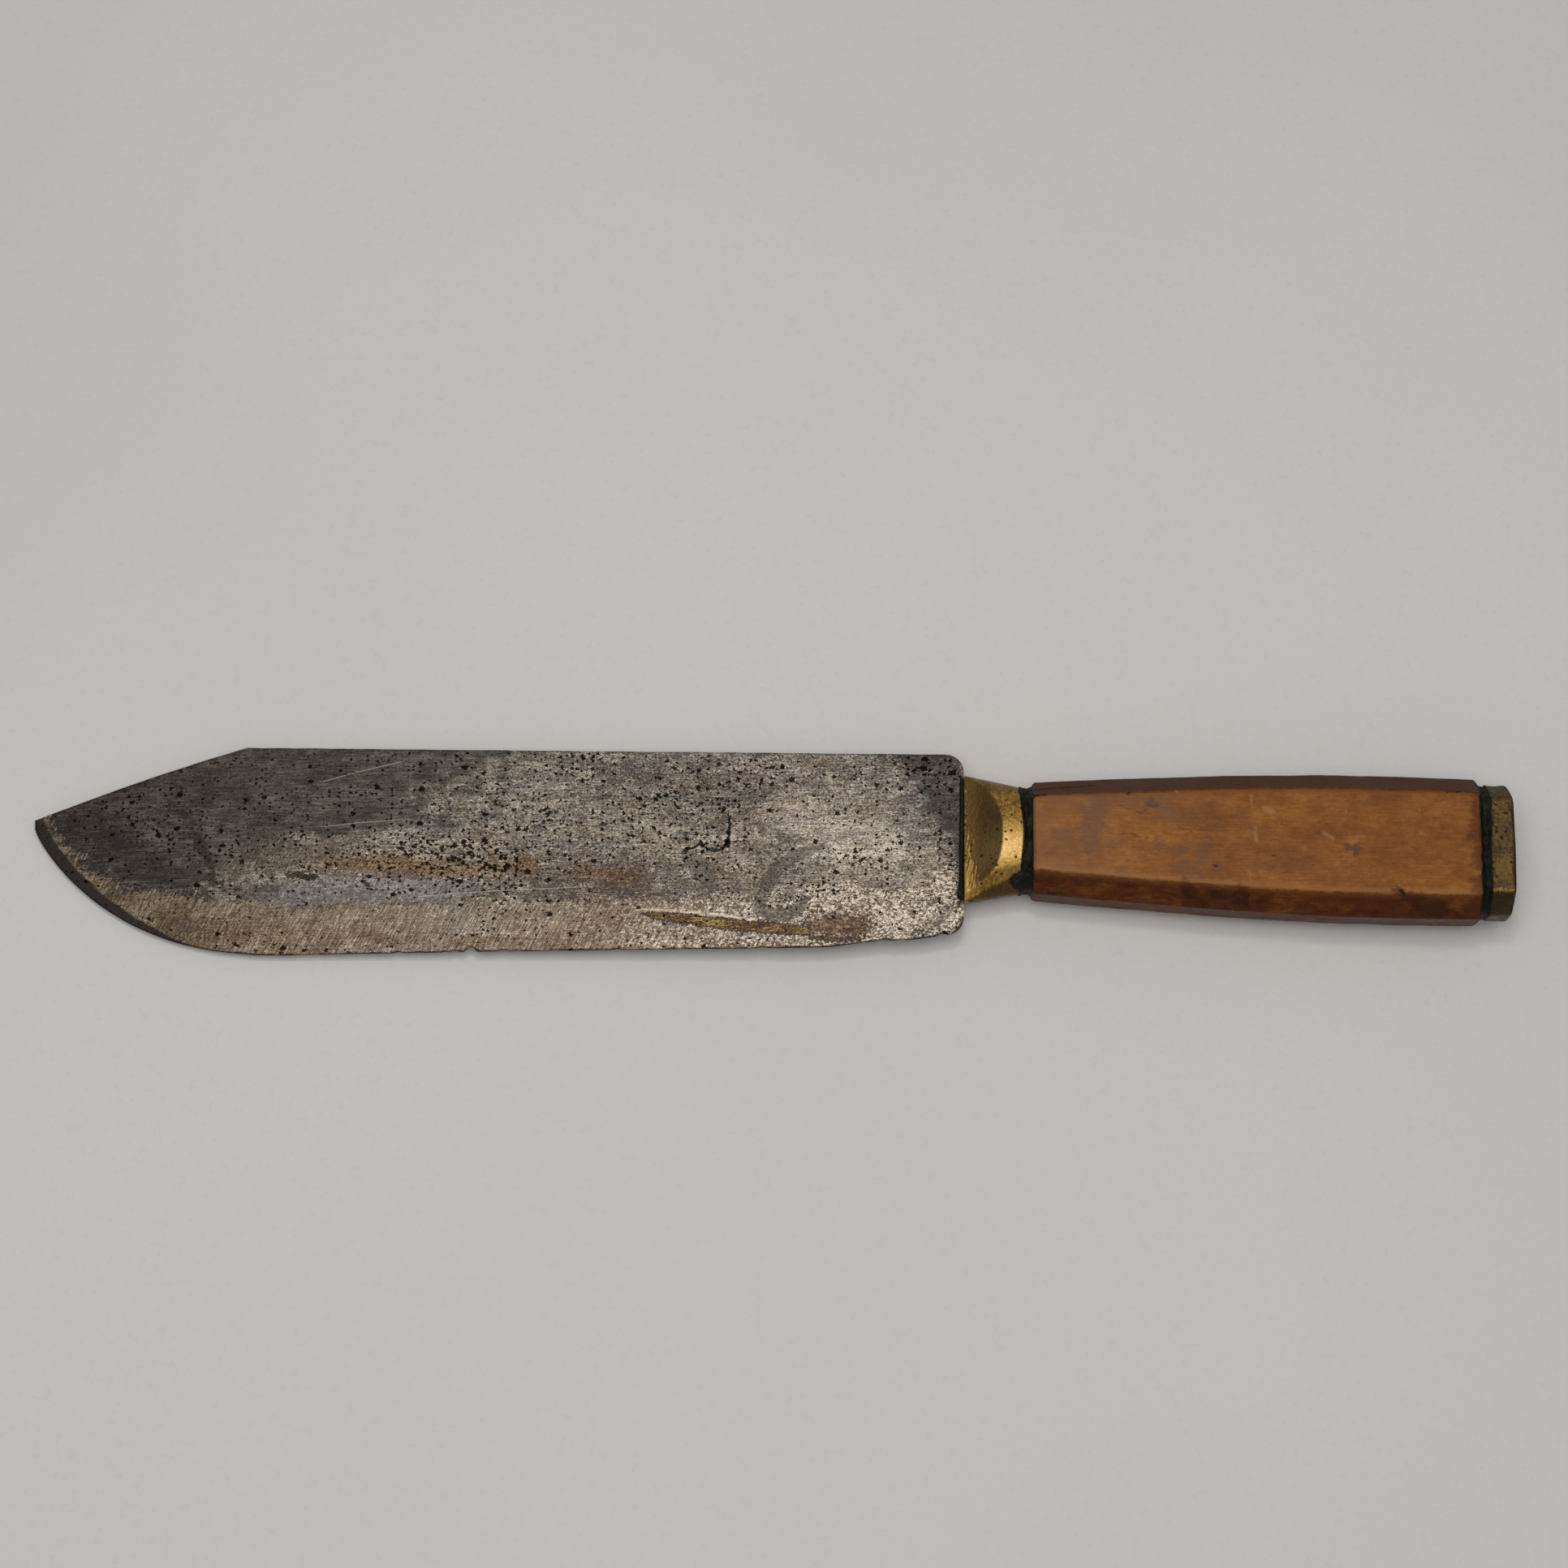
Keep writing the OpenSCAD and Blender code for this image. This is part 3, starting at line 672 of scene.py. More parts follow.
def facetLimit(x):
    # half thickness that the sloping facet leaves, growing towards the collar
    b = bolster
    s = x / b["scoopLength"]
    rise = (1 - b["scoopHollow"]) * s + b["scoopHollow"] * s ** 2
    return b["frontThick"] / 2 + (b["scoopThick"] - b["frontThick"]) / 2 * rise


def makeBolster():
    b = bolster
    e = b["edgeRound"]
    turn = np.linspace(0, math.pi / 2, 6)
    front = [(e * (1 - math.cos(a)), e * (1 - math.sin(a))) for a in turn]
    middle = [(x, 0.0) for x in np.linspace(e, bolsterLength - e, 84)[1:-1]]
    rear = [(bolsterLength - x, inset) for x, inset in front[::-1]]
    rows = np.array(front + middle + rear)
    x = np.repeat(rows[:, :1], len(turns), axis=1)
    rings = polarRings(x, bolsterOutline(x) - rows[:, 1:])
    z = np.abs(rings[:, :, 2])
    limit = facetLimit(x) - rows[:, 1:]
    k = b["scoopEdge"]
    low = np.minimum(z, limit)
    low = np.maximum(0, low - k * np.log1p(np.exp(-np.abs(z - limit) / k)))
    rings[:, :, 2] = np.sign(rings[:, :, 2]) * low
    rings[:, :, 0] += b["rimBulge"] * (rings[:, :, 0] / bolsterLength) ** 3 * np.sin(turns) ** 4
    # file strokes across the facet, and a skin left a little lumpy by the sand
    flat = rings.reshape(-1, 3)
    skin = rough(flat, b["skinSize"], 21, 2) * b["skin"]
    skin += rough(flat * np.array([2.5, 0.5, 1]), b["fileSize"], 22, 2) * b["fileMarks"]
    flat[:, 2] += np.sign(flat[:, 2]) * skin * smooth(np.abs(flat[:, 2]), 0.5, 2.5)
    flat[:, 1] += rough(flat, b["unevenSize"], 23, 2) * b["uneven"]
    hollow = outline(turns, ovalSides(b["hollowHigh"], b["hollowThick"]), b["innerCrisp"])
    slot = outline(turns, ovalSides(b["slotHigh"], b["slotThick"]), b["innerCrisp"])
    depths = np.array([bolsterLength, b["wall"], b["wall"], 0.0])
    inside = polarRings(depths, np.array([hollow, hollow, slot, slot]))
    inner = np.full(inside.shape[:2], -9.0)
    marks = {
        "facet": np.concatenate([z - limit, inner]),
        "along": np.concatenate([x, inside[:, :, 0]]),
        "below": np.concatenate([-rings[:, :, 1], inner]),
        "rim": np.concatenate([np.minimum(x, bolsterLength - x), inner]),
    }
    return loft("castBolster", np.concatenate([rings, inside]), marks, looped=True)


# End cap: a thick brass plate with eight sides, a shallow waist and a bowed butt
cap = {
    "high": 31.8, "thick": 18.2, "facetHigh": 4.7, "facetDeep": 5.6, "sharp": 46,
    "bow": 0.5, "cornerCut": 0.35, "waist": 0.1, "waistAt": 0.42, "waistLong": 0.24, "lip": 0.05,
    "lipFrom": 0.55, "lipFull": 0.82, "lipRound": 0.5, "lipAt": 0.86,
    "holeWide": 5.2, "sinkWide": 8.0, "sinkDeep": 1.6,
    "edgeUneven": 0.006, "edgeSize": 4.5, "faceUneven": 0.07, "faceSize": 6.0,
}
capSides = octagonSides(cap["high"], cap["thick"], cap["facetHigh"], cap["facetDeep"])
capReach = outline(turns, capSides, cap["sharp"])


def capEnd(y):
    # the butt face is bowed, and its upper corner is cut back
    b = cap
    s = (y - centreY(handleLength)) / (b["high"] / 2)
    return handleLength - b["bow"] * s ** 2 - smooth(s, 0.86, 1.02) * b["cornerCut"]


def makeCap():
    b = cap
    rows, share = [], []
    # the waist is filed deepest along the top
    upper = 0.3 + 0.7 * smooth(np.cos(turns), 0.2, 0.9)
    for s in np.linspace(0, b["lipAt"], 26):
        waist = b["waist"] * np.exp(-((s - b["waistAt"]) / b["waistLong"]) ** 2)
        waist -= b["lip"] * smooth(s, b["lipFrom"], b["lipFull"])
        rows.append(capReach - waist * upper)
        share.append(s)
    for a in np.linspace(0, math.pi / 2, 8)[1:]:
        rows.append(capReach + b["lip"] * upper - b["lipRound"] * (1 - math.cos(a)))
        share.append(b["lipAt"] + (1 - b["lipAt"]) * math.sin(a))
    for s in np.linspace(0, 1, 16)[1:]:
        rows.append((capReach + b["lip"] * upper - b["lipRound"]) * (1 - s) + b["sinkWide"] / 2 * s)
        share.append(1.0)
    reach = np.array(rows)
    share = np.array(share)[:, None]
    rings = polarRings(np.full(reach.shape, capStart), reach)
    rings[:, :, 0] = capStart + share * (capEnd(rings[:, :, 1]) - capStart)
    flat = rings.reshape(-1, 3)
    flat[:, 1:] *= 1 + (rough(flat, b["edgeSize"], 31, 2) * b["edgeUneven"])[:, None]
    flat[:, 0] += rough(flat, b["faceSize"], 32, 2) * b["faceUneven"] * (flat[:, 0] > capStart + 0.5)
    hole = np.zeros((2, len(turns)))
    ends = polarRings(np.array([handleLength - b["sinkDeep"], capStart]), hole + b["holeWide"] / 2)
    # the corners at the top and bottom are out of the hand's way and not rubbed, and get no painted highlight
    arris = fromArris(capSides) + 4 * smooth(np.abs(np.cos(turns)), 0.84, 0.9)
    marks = {
        "low": np.concatenate([centreY(rings[:, :, 0]) - rings[:, :, 1], hole]),
        "share": np.concatenate([np.broadcast_to(share, reach.shape), hole]),
        "arris": np.broadcast_to(arris, (len(reach) + 2, len(turns))),
        "along": np.concatenate([rings[:, :, 0], ends[:, :, 0]]) - capStart,
    }
    return loft("endCap", np.concatenate([rings, ends]), marks, looped=True)


# Grip: one piece of hardwood, planed to eight long faces that swell towards the butt
grip = {
    "frontHigh": 27.0, "swellHigh": 34.4, "swellAt": 0.8, "thick": gripThick,
    "facetHigh": 4.7, "facetDeep": 5.6, "arrisRadius": 0.55, "ease": 0.9,
    "boreFront": 6.7, "boreRear": 4.0, "rows": 210, "around": 216, "crowding": 0.13,
    "unevenness": 0.42, "unevenSize": 9.0, "seed": 4.0,
}


def newGeometryTree(name, sizes):
    # a tree with one named number for each size, set at once as the input's default
    tree = bpy.data.node_groups.new(name, "GeometryNodeTree")
    tree.interface.new_socket("Geometry", in_out="INPUT", socket_type="NodeSocketGeometry")
    for label, value in sizes.items():
        tree.interface.new_socket(label, in_out="INPUT", socket_type="NodeSocketFloat").default_value = value
    tree.interface.new_socket("Material", in_out="INPUT", socket_type="NodeSocketMaterial")
    tree.interface.new_socket("Geometry", in_out="OUTPUT", socket_type="NodeSocketGeometry")
    return tree, tree.nodes.new("NodeGroupInput").outputs


def seeded(tree, place, seed, wide):
    # noise with bumps wide millimetres across, which another seed lays out anew
    inputs = {"Vector": place, "W": seed, "Scale": 1 / (wide * mm), "Detail": 2.0}
    return addNode(tree, noiseKind, inputs, noise_dimensions="4D")


def roughen(tree, geometry, place, seed, wide, amount):
    # pushes the surface in and out along its own normals
    bumps = seeded(tree, place, seed, wide)
    push = addNode(tree, "ShaderNodeVectorMath", {
        0: addNode(tree, "GeometryNodeInputNormal"),
        "Scale": total(tree, [(vary(tree, 0.0, [(bumps, 1.0)]), amount)])}, operation="SCALE")
    return addNode(tree, placeKind, {"Geometry": geometry, "Offset": push})


def finishTree(tree, geometry, material):
    real = addNode(tree, "GeometryNodeRealizeInstances", {"Geometry": geometry})
    shown = addNode(tree, "GeometryNodeSetMaterial", {"Geometry": real, "Material": material})
    tree.links.new(shown, tree.nodes.new("NodeGroupOutput").inputs[0])


def runTree(piece, tree, sizes, material):
    # sets the modifier's inputs by identifier, then keeps what it makes as the piece's plain mesh
    modifier = piece.modifiers.new(tree.name, "NODES")
    modifier.node_group = tree
    for item in tree.interface.items_tree:
        if item.in_out == "INPUT" and item.name in sizes:
            modifier[item.identifier] = float(sizes[item.name])
        if item.in_out == "INPUT" and item.name == "Material":
            modifier[item.identifier] = material
    bpy.context.view_layer.update()
    graph = bpy.context.evaluated_depsgraph_get()
    made = bpy.data.meshes.new_from_object(piece.evaluated_get(graph), depsgraph=graph)
    piece.modifiers.clear()
    piece.data = made
    made.name = piece.name
    made.shade_smooth()
    return piece


def gripTree(sizes):
    t, size = newGeometryTree("swellingOctagon", sizes)
    # rail along the handle, its stations crowded towards both ends
    rail = addNode(t, "GeometryNodeCurvePrimitiveLine", {"End": addNode(t, xyzKind, [size["Length"]])})
    rail = addNode(t, "GeometryNodeResampleCurve", {"Curve": rail, "Count": grip["rows"]})
    share = addNode(t, "GeometryNodeSplineParameter")
    wave = addNode(t, mathKind, [total(t, [(share, 2 * math.pi)])], operation="SINE")
    share = total(t, [(share, 1.0), (wave, -grip["crowding"])])
    station = addNode(t, xyzKind, [total(t, [(share, size["Length"])])])
    rail = addNode(t, placeKind, {"Geometry": rail, "Position": station})
    # the object's own octagon is the section, its arrises rubbed round
    section = addNode(t, "GeometryNodeMeshToCurve", {"Mesh": size["Geometry"]})
    section = addNode(t, "GeometryNodeFilletCurve", {
        "Curve": section, "Radius": size["Arris radius"], "Count": 4, "Limit Radius": True}, mode="POLY")
    section = addNode(t, "GeometryNodeResampleCurve", {"Curve": section, "Count": grip["around"]})
    body = addNode(t, "GeometryNodeCurveToMesh", {"Curve": rail, "Profile Curve": section, "Fill Caps": True})
    # swell: the upper and lower halves move apart along a quarter wave, and the corner facets keep their size
    place = addNode(t, "GeometryNodeInputPosition")
    x, y, z = addNode(t, "ShaderNodeSeparateXYZ", [place]).node.outputs
    angle = addNode(t, mathKind, [x, size["Length"]], operation="DIVIDE")
    angle = total(t, [(angle, math.pi / 2 / grip["swellAt"])])
    grow = total(t, [(addNode(t, mathKind, [angle], operation="SINE"), size["Swell"])])
    half = size["Flat half height"]
    side = addNode(t, rangeKind, [y, total(t, [(half, -1.0)]), half, -1.0, 1.0])
    high = total(t, [(y, 1.0), (grow, side)])
    # ease: both ends draw in along a quarter circle
    back = total(t, [(size["Length"], 1.0), (x, -1.0)])
    near = addNode(t, mathKind, [back, x], operation="MINIMUM")
    curl = addNode(t, rangeKind, [near, 0.0, size["Ease"], 1.0, 0.0])
    root = addNode(t, mathKind, [total(t, [(1.0, 1.0), (total(t, [(curl, curl)]), -1.0)])], operation="SQRT")
    inset = total(t, [(size["Ease"], 1.0), (total(t, [(root, size["Ease"])]), -1.0)])
    shrink = addNode(t, mathKind, [inset, size["Half thickness"]], operation="DIVIDE")
    shrink = total(t, [(1.0, 1.0), (shrink, -1.0)])
    high = total(t, [(high, shrink), (x, size["Fall"])])
    drawn = addNode(t, xyzKind, [x, high, total(t, [(z, shrink)])])
    body = addNode(t, placeKind, {"Geometry": body, "Position": drawn})
    # hand work and wear, which leave both ends as they are
    calm = addNode(t, rangeKind, [near, 0.0, 2 * mm])
    wear = total(t, [(size["Unevenness"], calm)])
    body = roughen(t, body, place, size["Seed"], grip["unevenSize"], wear)
    # the tapered bore for the tang and its pitch
    drill = addNode(t, "GeometryNodeMeshCone", {
        "Vertices": 48, "Radius Top": size["Bore rear"], "Radius Bottom": size["Bore front"],
        "Depth": total(t, [(size["Length"], 1.0), (4 * mm, 1.0)])})
    drill = addNode(t, "GeometryNodeTransform", {
        "Geometry": drill, "Translation": (-2 * mm, 0, 0),
        "Rotation": addNode(t, xyzKind, [0.0, math.pi / 2, size["Fall"]])})
    body = addNode(t, "GeometryNodeMeshBoolean", {"Mesh 1": body, "Mesh 2": drill},
                   operation="DIFFERENCE", solver="EXACT")
    start = addNode(t, xyzKind, [size["Start X"], size["Start Y"], size["Start Z"]])
    finishTree(t, addNode(t, placeKind, {"Geometry": body, "Offset": start}), size["Material"])
    return t


def makeGrip(material):
    b = grip
    high, thick = b["frontHigh"] / 2, b["thick"] / 2
    flat, side = high - b["facetHigh"], thick - b["facetDeep"]
    corners = [(flat, thick), (-flat, thick), (-high, side), (-high, -side),
               (-flat, -thick), (flat, -thick), (high, -side), (high, side)]
    section = [(y * mm, z * mm, 0) for y, z in corners]
    piece = newPiece("gripWood", section, [(i, (i + 1) % 8) for i in range(8)], [])
    sizes = {
        "Length": (gripEnd - gripStart) * mm, "Swell": (b["swellHigh"] / 2 - high) * mm,
        "Flat half height": flat * mm, "Half thickness": thick * mm, "Arris radius": b["arrisRadius"] * mm,
        "Ease": b["ease"] * mm, "Fall": -handleDrop / handleLength, "Unevenness": b["unevenness"] * mm,
        "Seed": b["seed"], "Bore front": b["boreFront"] * mm, "Bore rear": b["boreRear"] * mm,
        "Start X": datum.x + gripStart * mm, "Start Y": datum.y + float(centreY(gripStart)) * mm,
        "Start Z": datum.z,
    }
    return runTree(piece, gripTree(sizes), sizes, material)


# Pitch: ran out of the joints hot and skinned over black-green
pitch = {
    "film": 0.33, "sunk": 0.75, "edgeSunk": 0.14, "spread": 0.5, "waver": 0.45, "waverSize": 3.0,
    "lump": 0.5, "lumpSize": 1.9, "grit": 0.14, "gritSize": 0.6, "rows": 26,
    "holeHigh": 12.6, "holeThick": 3.4, "holeCrisp": 20, "tucked": 2.0,
}
# where the front seam ran on to the bolster: direction and half width in radians, then millimetres, and how
# much of it comes and goes
frontRun = {"turn": math.radians(157), "half": 0.2, "forward": 2.2, "thick": 1.1, "rise": 3.2, "ragged": 0.2}


def gripHigh(x):
    b = grip
    s = np.clip((x - gripStart) / (gripEnd - gripStart), 0, 1)
    return b["frontHigh"] + (b["swellHigh"] - b["frontHigh"]) * np.sin(s * math.pi / 2 / b["swellAt"])


def gripOutline(x):
    # the grip's own section, drawn in at both ends
    b = grip
    near = np.clip(np.minimum(x - gripStart, gripEnd - x), 0, b["ease"]) / b["ease"]
    drawn = b["ease"] * (1 - np.sqrt(np.maximum(0, 1 - (1 - near) ** 2)))
    return outline(turns, octagonSides(gripHigh(x), b["thick"], b["facetHigh"], b["facetDeep"]), 40) - drawn


def capOutline(x):
    return capReach + 0 * x


def makeSeam(name, start, end, ahead, behind, seed, cover, bulge=0.0, run=None):
    # cover says how much the pitch has spread over the piece on each side, direction by direction
    b = pitch
    around = np.stack([0 * turns, np.cos(turns), np.sin(turns)], axis=1) * 12
    share = np.zeros(len(turns))
    if run:
        share = np.maximum(0, 1 - ((turns - run["turn"]) / run["half"]) ** 2) ** 0.6
        share = share * (1 + run["ragged"] * rough(around, 1.5, seed + 7, 2))
    rim = start + bulge * np.sin(turns) ** 4
    first = rim - cover[0] * (b["spread"] + b["waver"] * rough(around, b["waverSize"], seed, 3))
    if run:
        first = first - share * run["forward"]
    last = end + cover[1] * (b["spread"] + b["waver"] * rough(around, b["waverSize"], seed + 1, 3))
    u = np.linspace(0, 1, b["rows"])[:, None]
    x = first + (last - first) * u
    blend = smooth(x, rim, end)
    reach = ahead(np.minimum(x, start)) * (1 - blend) + behind(np.maximum(x, end)) * blend
    within = np.sin(math.pi * np.clip((x - rim) / (end - rim), 0, 1))
    reach = reach - b["sunk"] * within - b["edgeSunk"] * (1 - np.sin(math.pi * u) ** 0.35)
    rings = polarRings(x, reach)
    flat = rings.reshape(-1, 3)
    lumps = rough(flat, b["lumpSize"], seed + 2, 3).reshape(reach.shape)
    grit = rough(flat, b["gritSize"], seed + 3, 2).reshape(reach.shape)
    skin = np.sin(math.pi * u) ** 0.5
    reach = reach + skin * (b["film"] + b["lump"] * lumps * (0.5 + 0.5 * within) + b["grit"] * grit)
    if run:
        swell = np.sqrt(np.sin(math.pi / 2 * np.clip((x - first) / run["rise"], 0, 1)))
        reach = reach + share * run["thick"] * swell * (1 - 0.75 * blend)
    outer = polarRings(x, reach)
    hole = outline(turns, ovalSides(b["holeHigh"], b["holeThick"]), b["holeCrisp"])
    face = np.minimum(reach[-1], reach[0]) - b["tucked"]
    inner = polarRings(np.array([end, end, start, start]), np.array([face, hole, hole, face]))
    return loft(name, np.concatenate([outer, inner]), looped=True)


# The bead where the blade meets the bolster: a line down each side, fattest where it hangs at the low end
bead = {
    "radius": 0.55, "place": -0.35, "lean": 0.35, "depth": 2.0, "top": 14.4, "low": -15.2, "points": 24,
    "lump": 1.9, "swellSize": 2.6, "grit": 0.5, "gritSize": 0.9, "seed": 11.0, "rows": 130, "around": 28,
}


def beadTree(sizes):
    # pitch along a path, thick and thin by seeded noise, swollen and then closed towards the path's end
    t, size = newGeometryTree("pitchBead", sizes)
    path = addNode(t, "GeometryNodeMeshToCurve", {"Mesh": size["Geometry"]})
    path = addNode(t, "GeometryNodeResampleCurve", {"Curve": path, "Count": bead["rows"]})
    share = addNode(t, "GeometryNodeSplineParameter")
    place = addNode(t, "GeometryNodeInputPosition")
    swell = seeded(t, place, size["Seed"], bead["swellSize"])
    swell = addNode(t, rangeKind, [swell, 0.3, 0.7, 0.82, 1.18])
    drop = addNode(t, rangeKind, [share, 0.86, 0.97, 1.0, size["Lump"]], interpolation_type="SMOOTHSTEP")
    close = addNode(t, rangeKind, [share, 0.96, 1.0, 1.0, 0.25], interpolation_type="SMOOTHSTEP")
    radius = total(t, [(total(t, [(swell, drop)]), close)])
    ring = addNode(t, "GeometryNodeCurvePrimitiveCircle", {
        "Resolution": bead["around"], "Radius": size["Radius"]})
    tube = addNode(t, "GeometryNodeCurveToMesh", {
        "Curve": path, "Profile Curve": ring, "Scale": radius, "Fill Caps": True})
    tube = roughen(t, tube, place, size["Seed"], bead["gritSize"], size["Grit"])
    finishTree(t, tube, size["Material"])
    return t


def makeBead(material):
    b = bead
    path = [(b["place"] - b["lean"] * s, b["top"] + (b["low"] - b["top"]) * s, side * b["depth"])
            for side in (1, -1) for s in np.linspace(0, 1, b["points"])]
    edges = [(i, i + 1) for i in range(len(path) - 1) if i != b["points"] - 1]
    piece = newPiece("shoulderPitch", toFrame(path), edges, [])
    sizes = {"Radius": b["radius"] * mm, "Lump": b["lump"], "Grit": b["grit"] * mm, "Seed": b["seed"]}
    return runTree(piece, beadTree(sizes), sizes, material)


def brassFinish(name, marks, worn, mid, deep):
    # Cast brass, filed and then left: brown oxide in the hollows, bare yellow where hands rub the edges,
    # small blow holes from the sand
    material, t, shader, m = newMaterial(name, marks)
    clouds = pattern(t, (6.5, 5.5, 6.0), detail=5.0, roughness=0.62)
    speckle = pattern(t, (0.9, 0.8, 0.9), detail=4.0, roughness=0.65)
    filed = pattern(t, (0.32, 4.5, 0.8), detail=3.0, roughness=0.55, turn=-8)
    tone = vary(t, 0.5, [(clouds, 1.2), (speckle, 0.9), (filed, 0.7)])
    base = addNode(t, rampKind, {"Fac": tone}, ramp=[(0.28, deep), (0.5, mid), (0.75, worn)])
    pitCell = pattern(t, (1.15, 1.0, 1.15), kind=cellKind)
    pitSize = addNode(t, "ShaderNodeSeparateColor", [pitCell.node.outputs["Color"]])
    pit = vary(t, total(t, [(pitCell, 1.0), (pitSize, -0.97)]), [(clouds, -1.5), (speckle, 1.2)])
    return material, t, shader, base, {**m, "clouds": clouds, "speckle": speckle, "filed": filed, "pit": pit}


def finishBrass(t, shader, tint, p, pitDeep):
    gloss = vary(t, 0.44, [(p["clouds"], 0.6), (p["speckle"], 0.6), (p["filed"], 0.4)])
    sunk = addNode(t, rangeKind, [p["pit"], -0.8, -0.56, -pitDeep, 0.0])
    height = total(t, [(p["speckle"], 0.42), (p["filed"], 0.05), (p["clouds"], 0.14), (sunk, 1.0)])
    finishShader(t, shader, height, 0.6, {"Base Color": tint, "Metallic": 0.8, "Roughness": gloss})


def bolsterFinish():
    material, t, shader, base, p = brassFinish(
        "castBrass", ["facet", "along", "below", "rim"], "#ad8840", "#87672e", "#5c431d")
    middle = vary(t, total(t, [(p["facet"], 1.0), (p["below"], -0.12)]), [(p["clouds"], 12.0)])
    upper = vary(t, p["below"], [(p["clouds"], 12.0)])
    undersideShade = vary(t, total(t, [(p["below"], 1.0), (p["along"], 0.5)]), [(p["speckle"], 2.5)])
    # painted highlight along the middle of the collar, also brass rubbed bright
    rubbedHighlight = addNode(t, mathKind, [total(t, [(p["below"], 1.0), (-3.6, 1.0)])], operation="ABSOLUTE")
    rubbedHighlight = vary(t, rubbedHighlight, [(p["clouds"], 7.0), (p["speckle"], 12.0)])
    frontLip = vary(t, p["along"], [(p["clouds"], 4.0), (p["speckle"], 3.0)])
    scrapedGlints = total(t, [(p["along"], 1.0), (p["below"], -0.22)])
    scrapedGlints = vary(t, scrapedGlints, [(p["filed"], 14.0), (p["speckle"], 9.0)])
    edge = vary(t, p["rim"], [(p["speckle"], 2.0)])
    tint = paint(t, base, [
        # painted shade on the collar's upper side
        (upper, -4.0, -13.0, 0.12, "#5a4220"),
        # painted highlight on the collar
        (rubbedHighlight, 6.0, 1.5, 0.5, "#d6b072"),
        # facet darker: oxide, partly a painted dark reflection
        (p["facet"], -0.25, 0.15, 0.8, "#40301a"),
        # painted dark reflection in the middle of the facet
        (middle, 0.6, 3.0, 0.4, "#33220f"),
        (frontLip, 4.2, 1.6, 0.6, "#644a20"),
        # bright specks low on the front of the facet: scraped brass, partly painted glints
        (scrapedGlints, 0.4, -1.0, 0.6, "#c59c4c"),
        # painted shade on the underside chamfers
        (undersideShade, 15.2, 15.9, 0.85, "#3f2913"),
        (edge, 0.35, 0.05, 0.6, "#c09748"),
        (p["pit"], -0.54, -0.62, 0.9, "#241809"),
    ])
    finishBrass(t, shader, tint, p, 0.12)
    return material


def capFinish():
    material, t, shader, base, p = brassFinish(
        "tarnishedBrass", ["share", "arris", "along", "low"], "#614a20", "#443217", "#291e0c")
    low = vary(t, p["low"], [(p["speckle"], 1.2)])
    rubbedArrisHighlight = vary(t, p["arris"], [(p["clouds"], 4.0), (p["speckle"], 3.0)])
    grime = vary(t, p["along"], [(p["clouds"], 6.0)])
    rear = vary(t, p["share"], [(p["clouds"], 0.5)])
    tint = paint(t, base, [
        # painted shade on the lower facets
        (low, 10.6, 11.2, 0.6, "#33260e"),
        (low, -10.6, -11.2, 0.7, "#48360e"),
        (grime, 1.2, 0.2, 0.6, "#2a210f"),
        # arrises lighter: brass rubbed bright, partly a painted highlight
        (rubbedArrisHighlight, 0.4, 0.0, 0.5, "#8d6c32"),
        # painted shade on the rounded rear lip
        (rear, 0.86, 0.94, 0.85, "#1a130a"),
        (p["pit"], -0.54, -0.62, 0.9, "#1c1408"),
    ])
    finishBrass(t, shader, tint, p, 0.14)
    return material


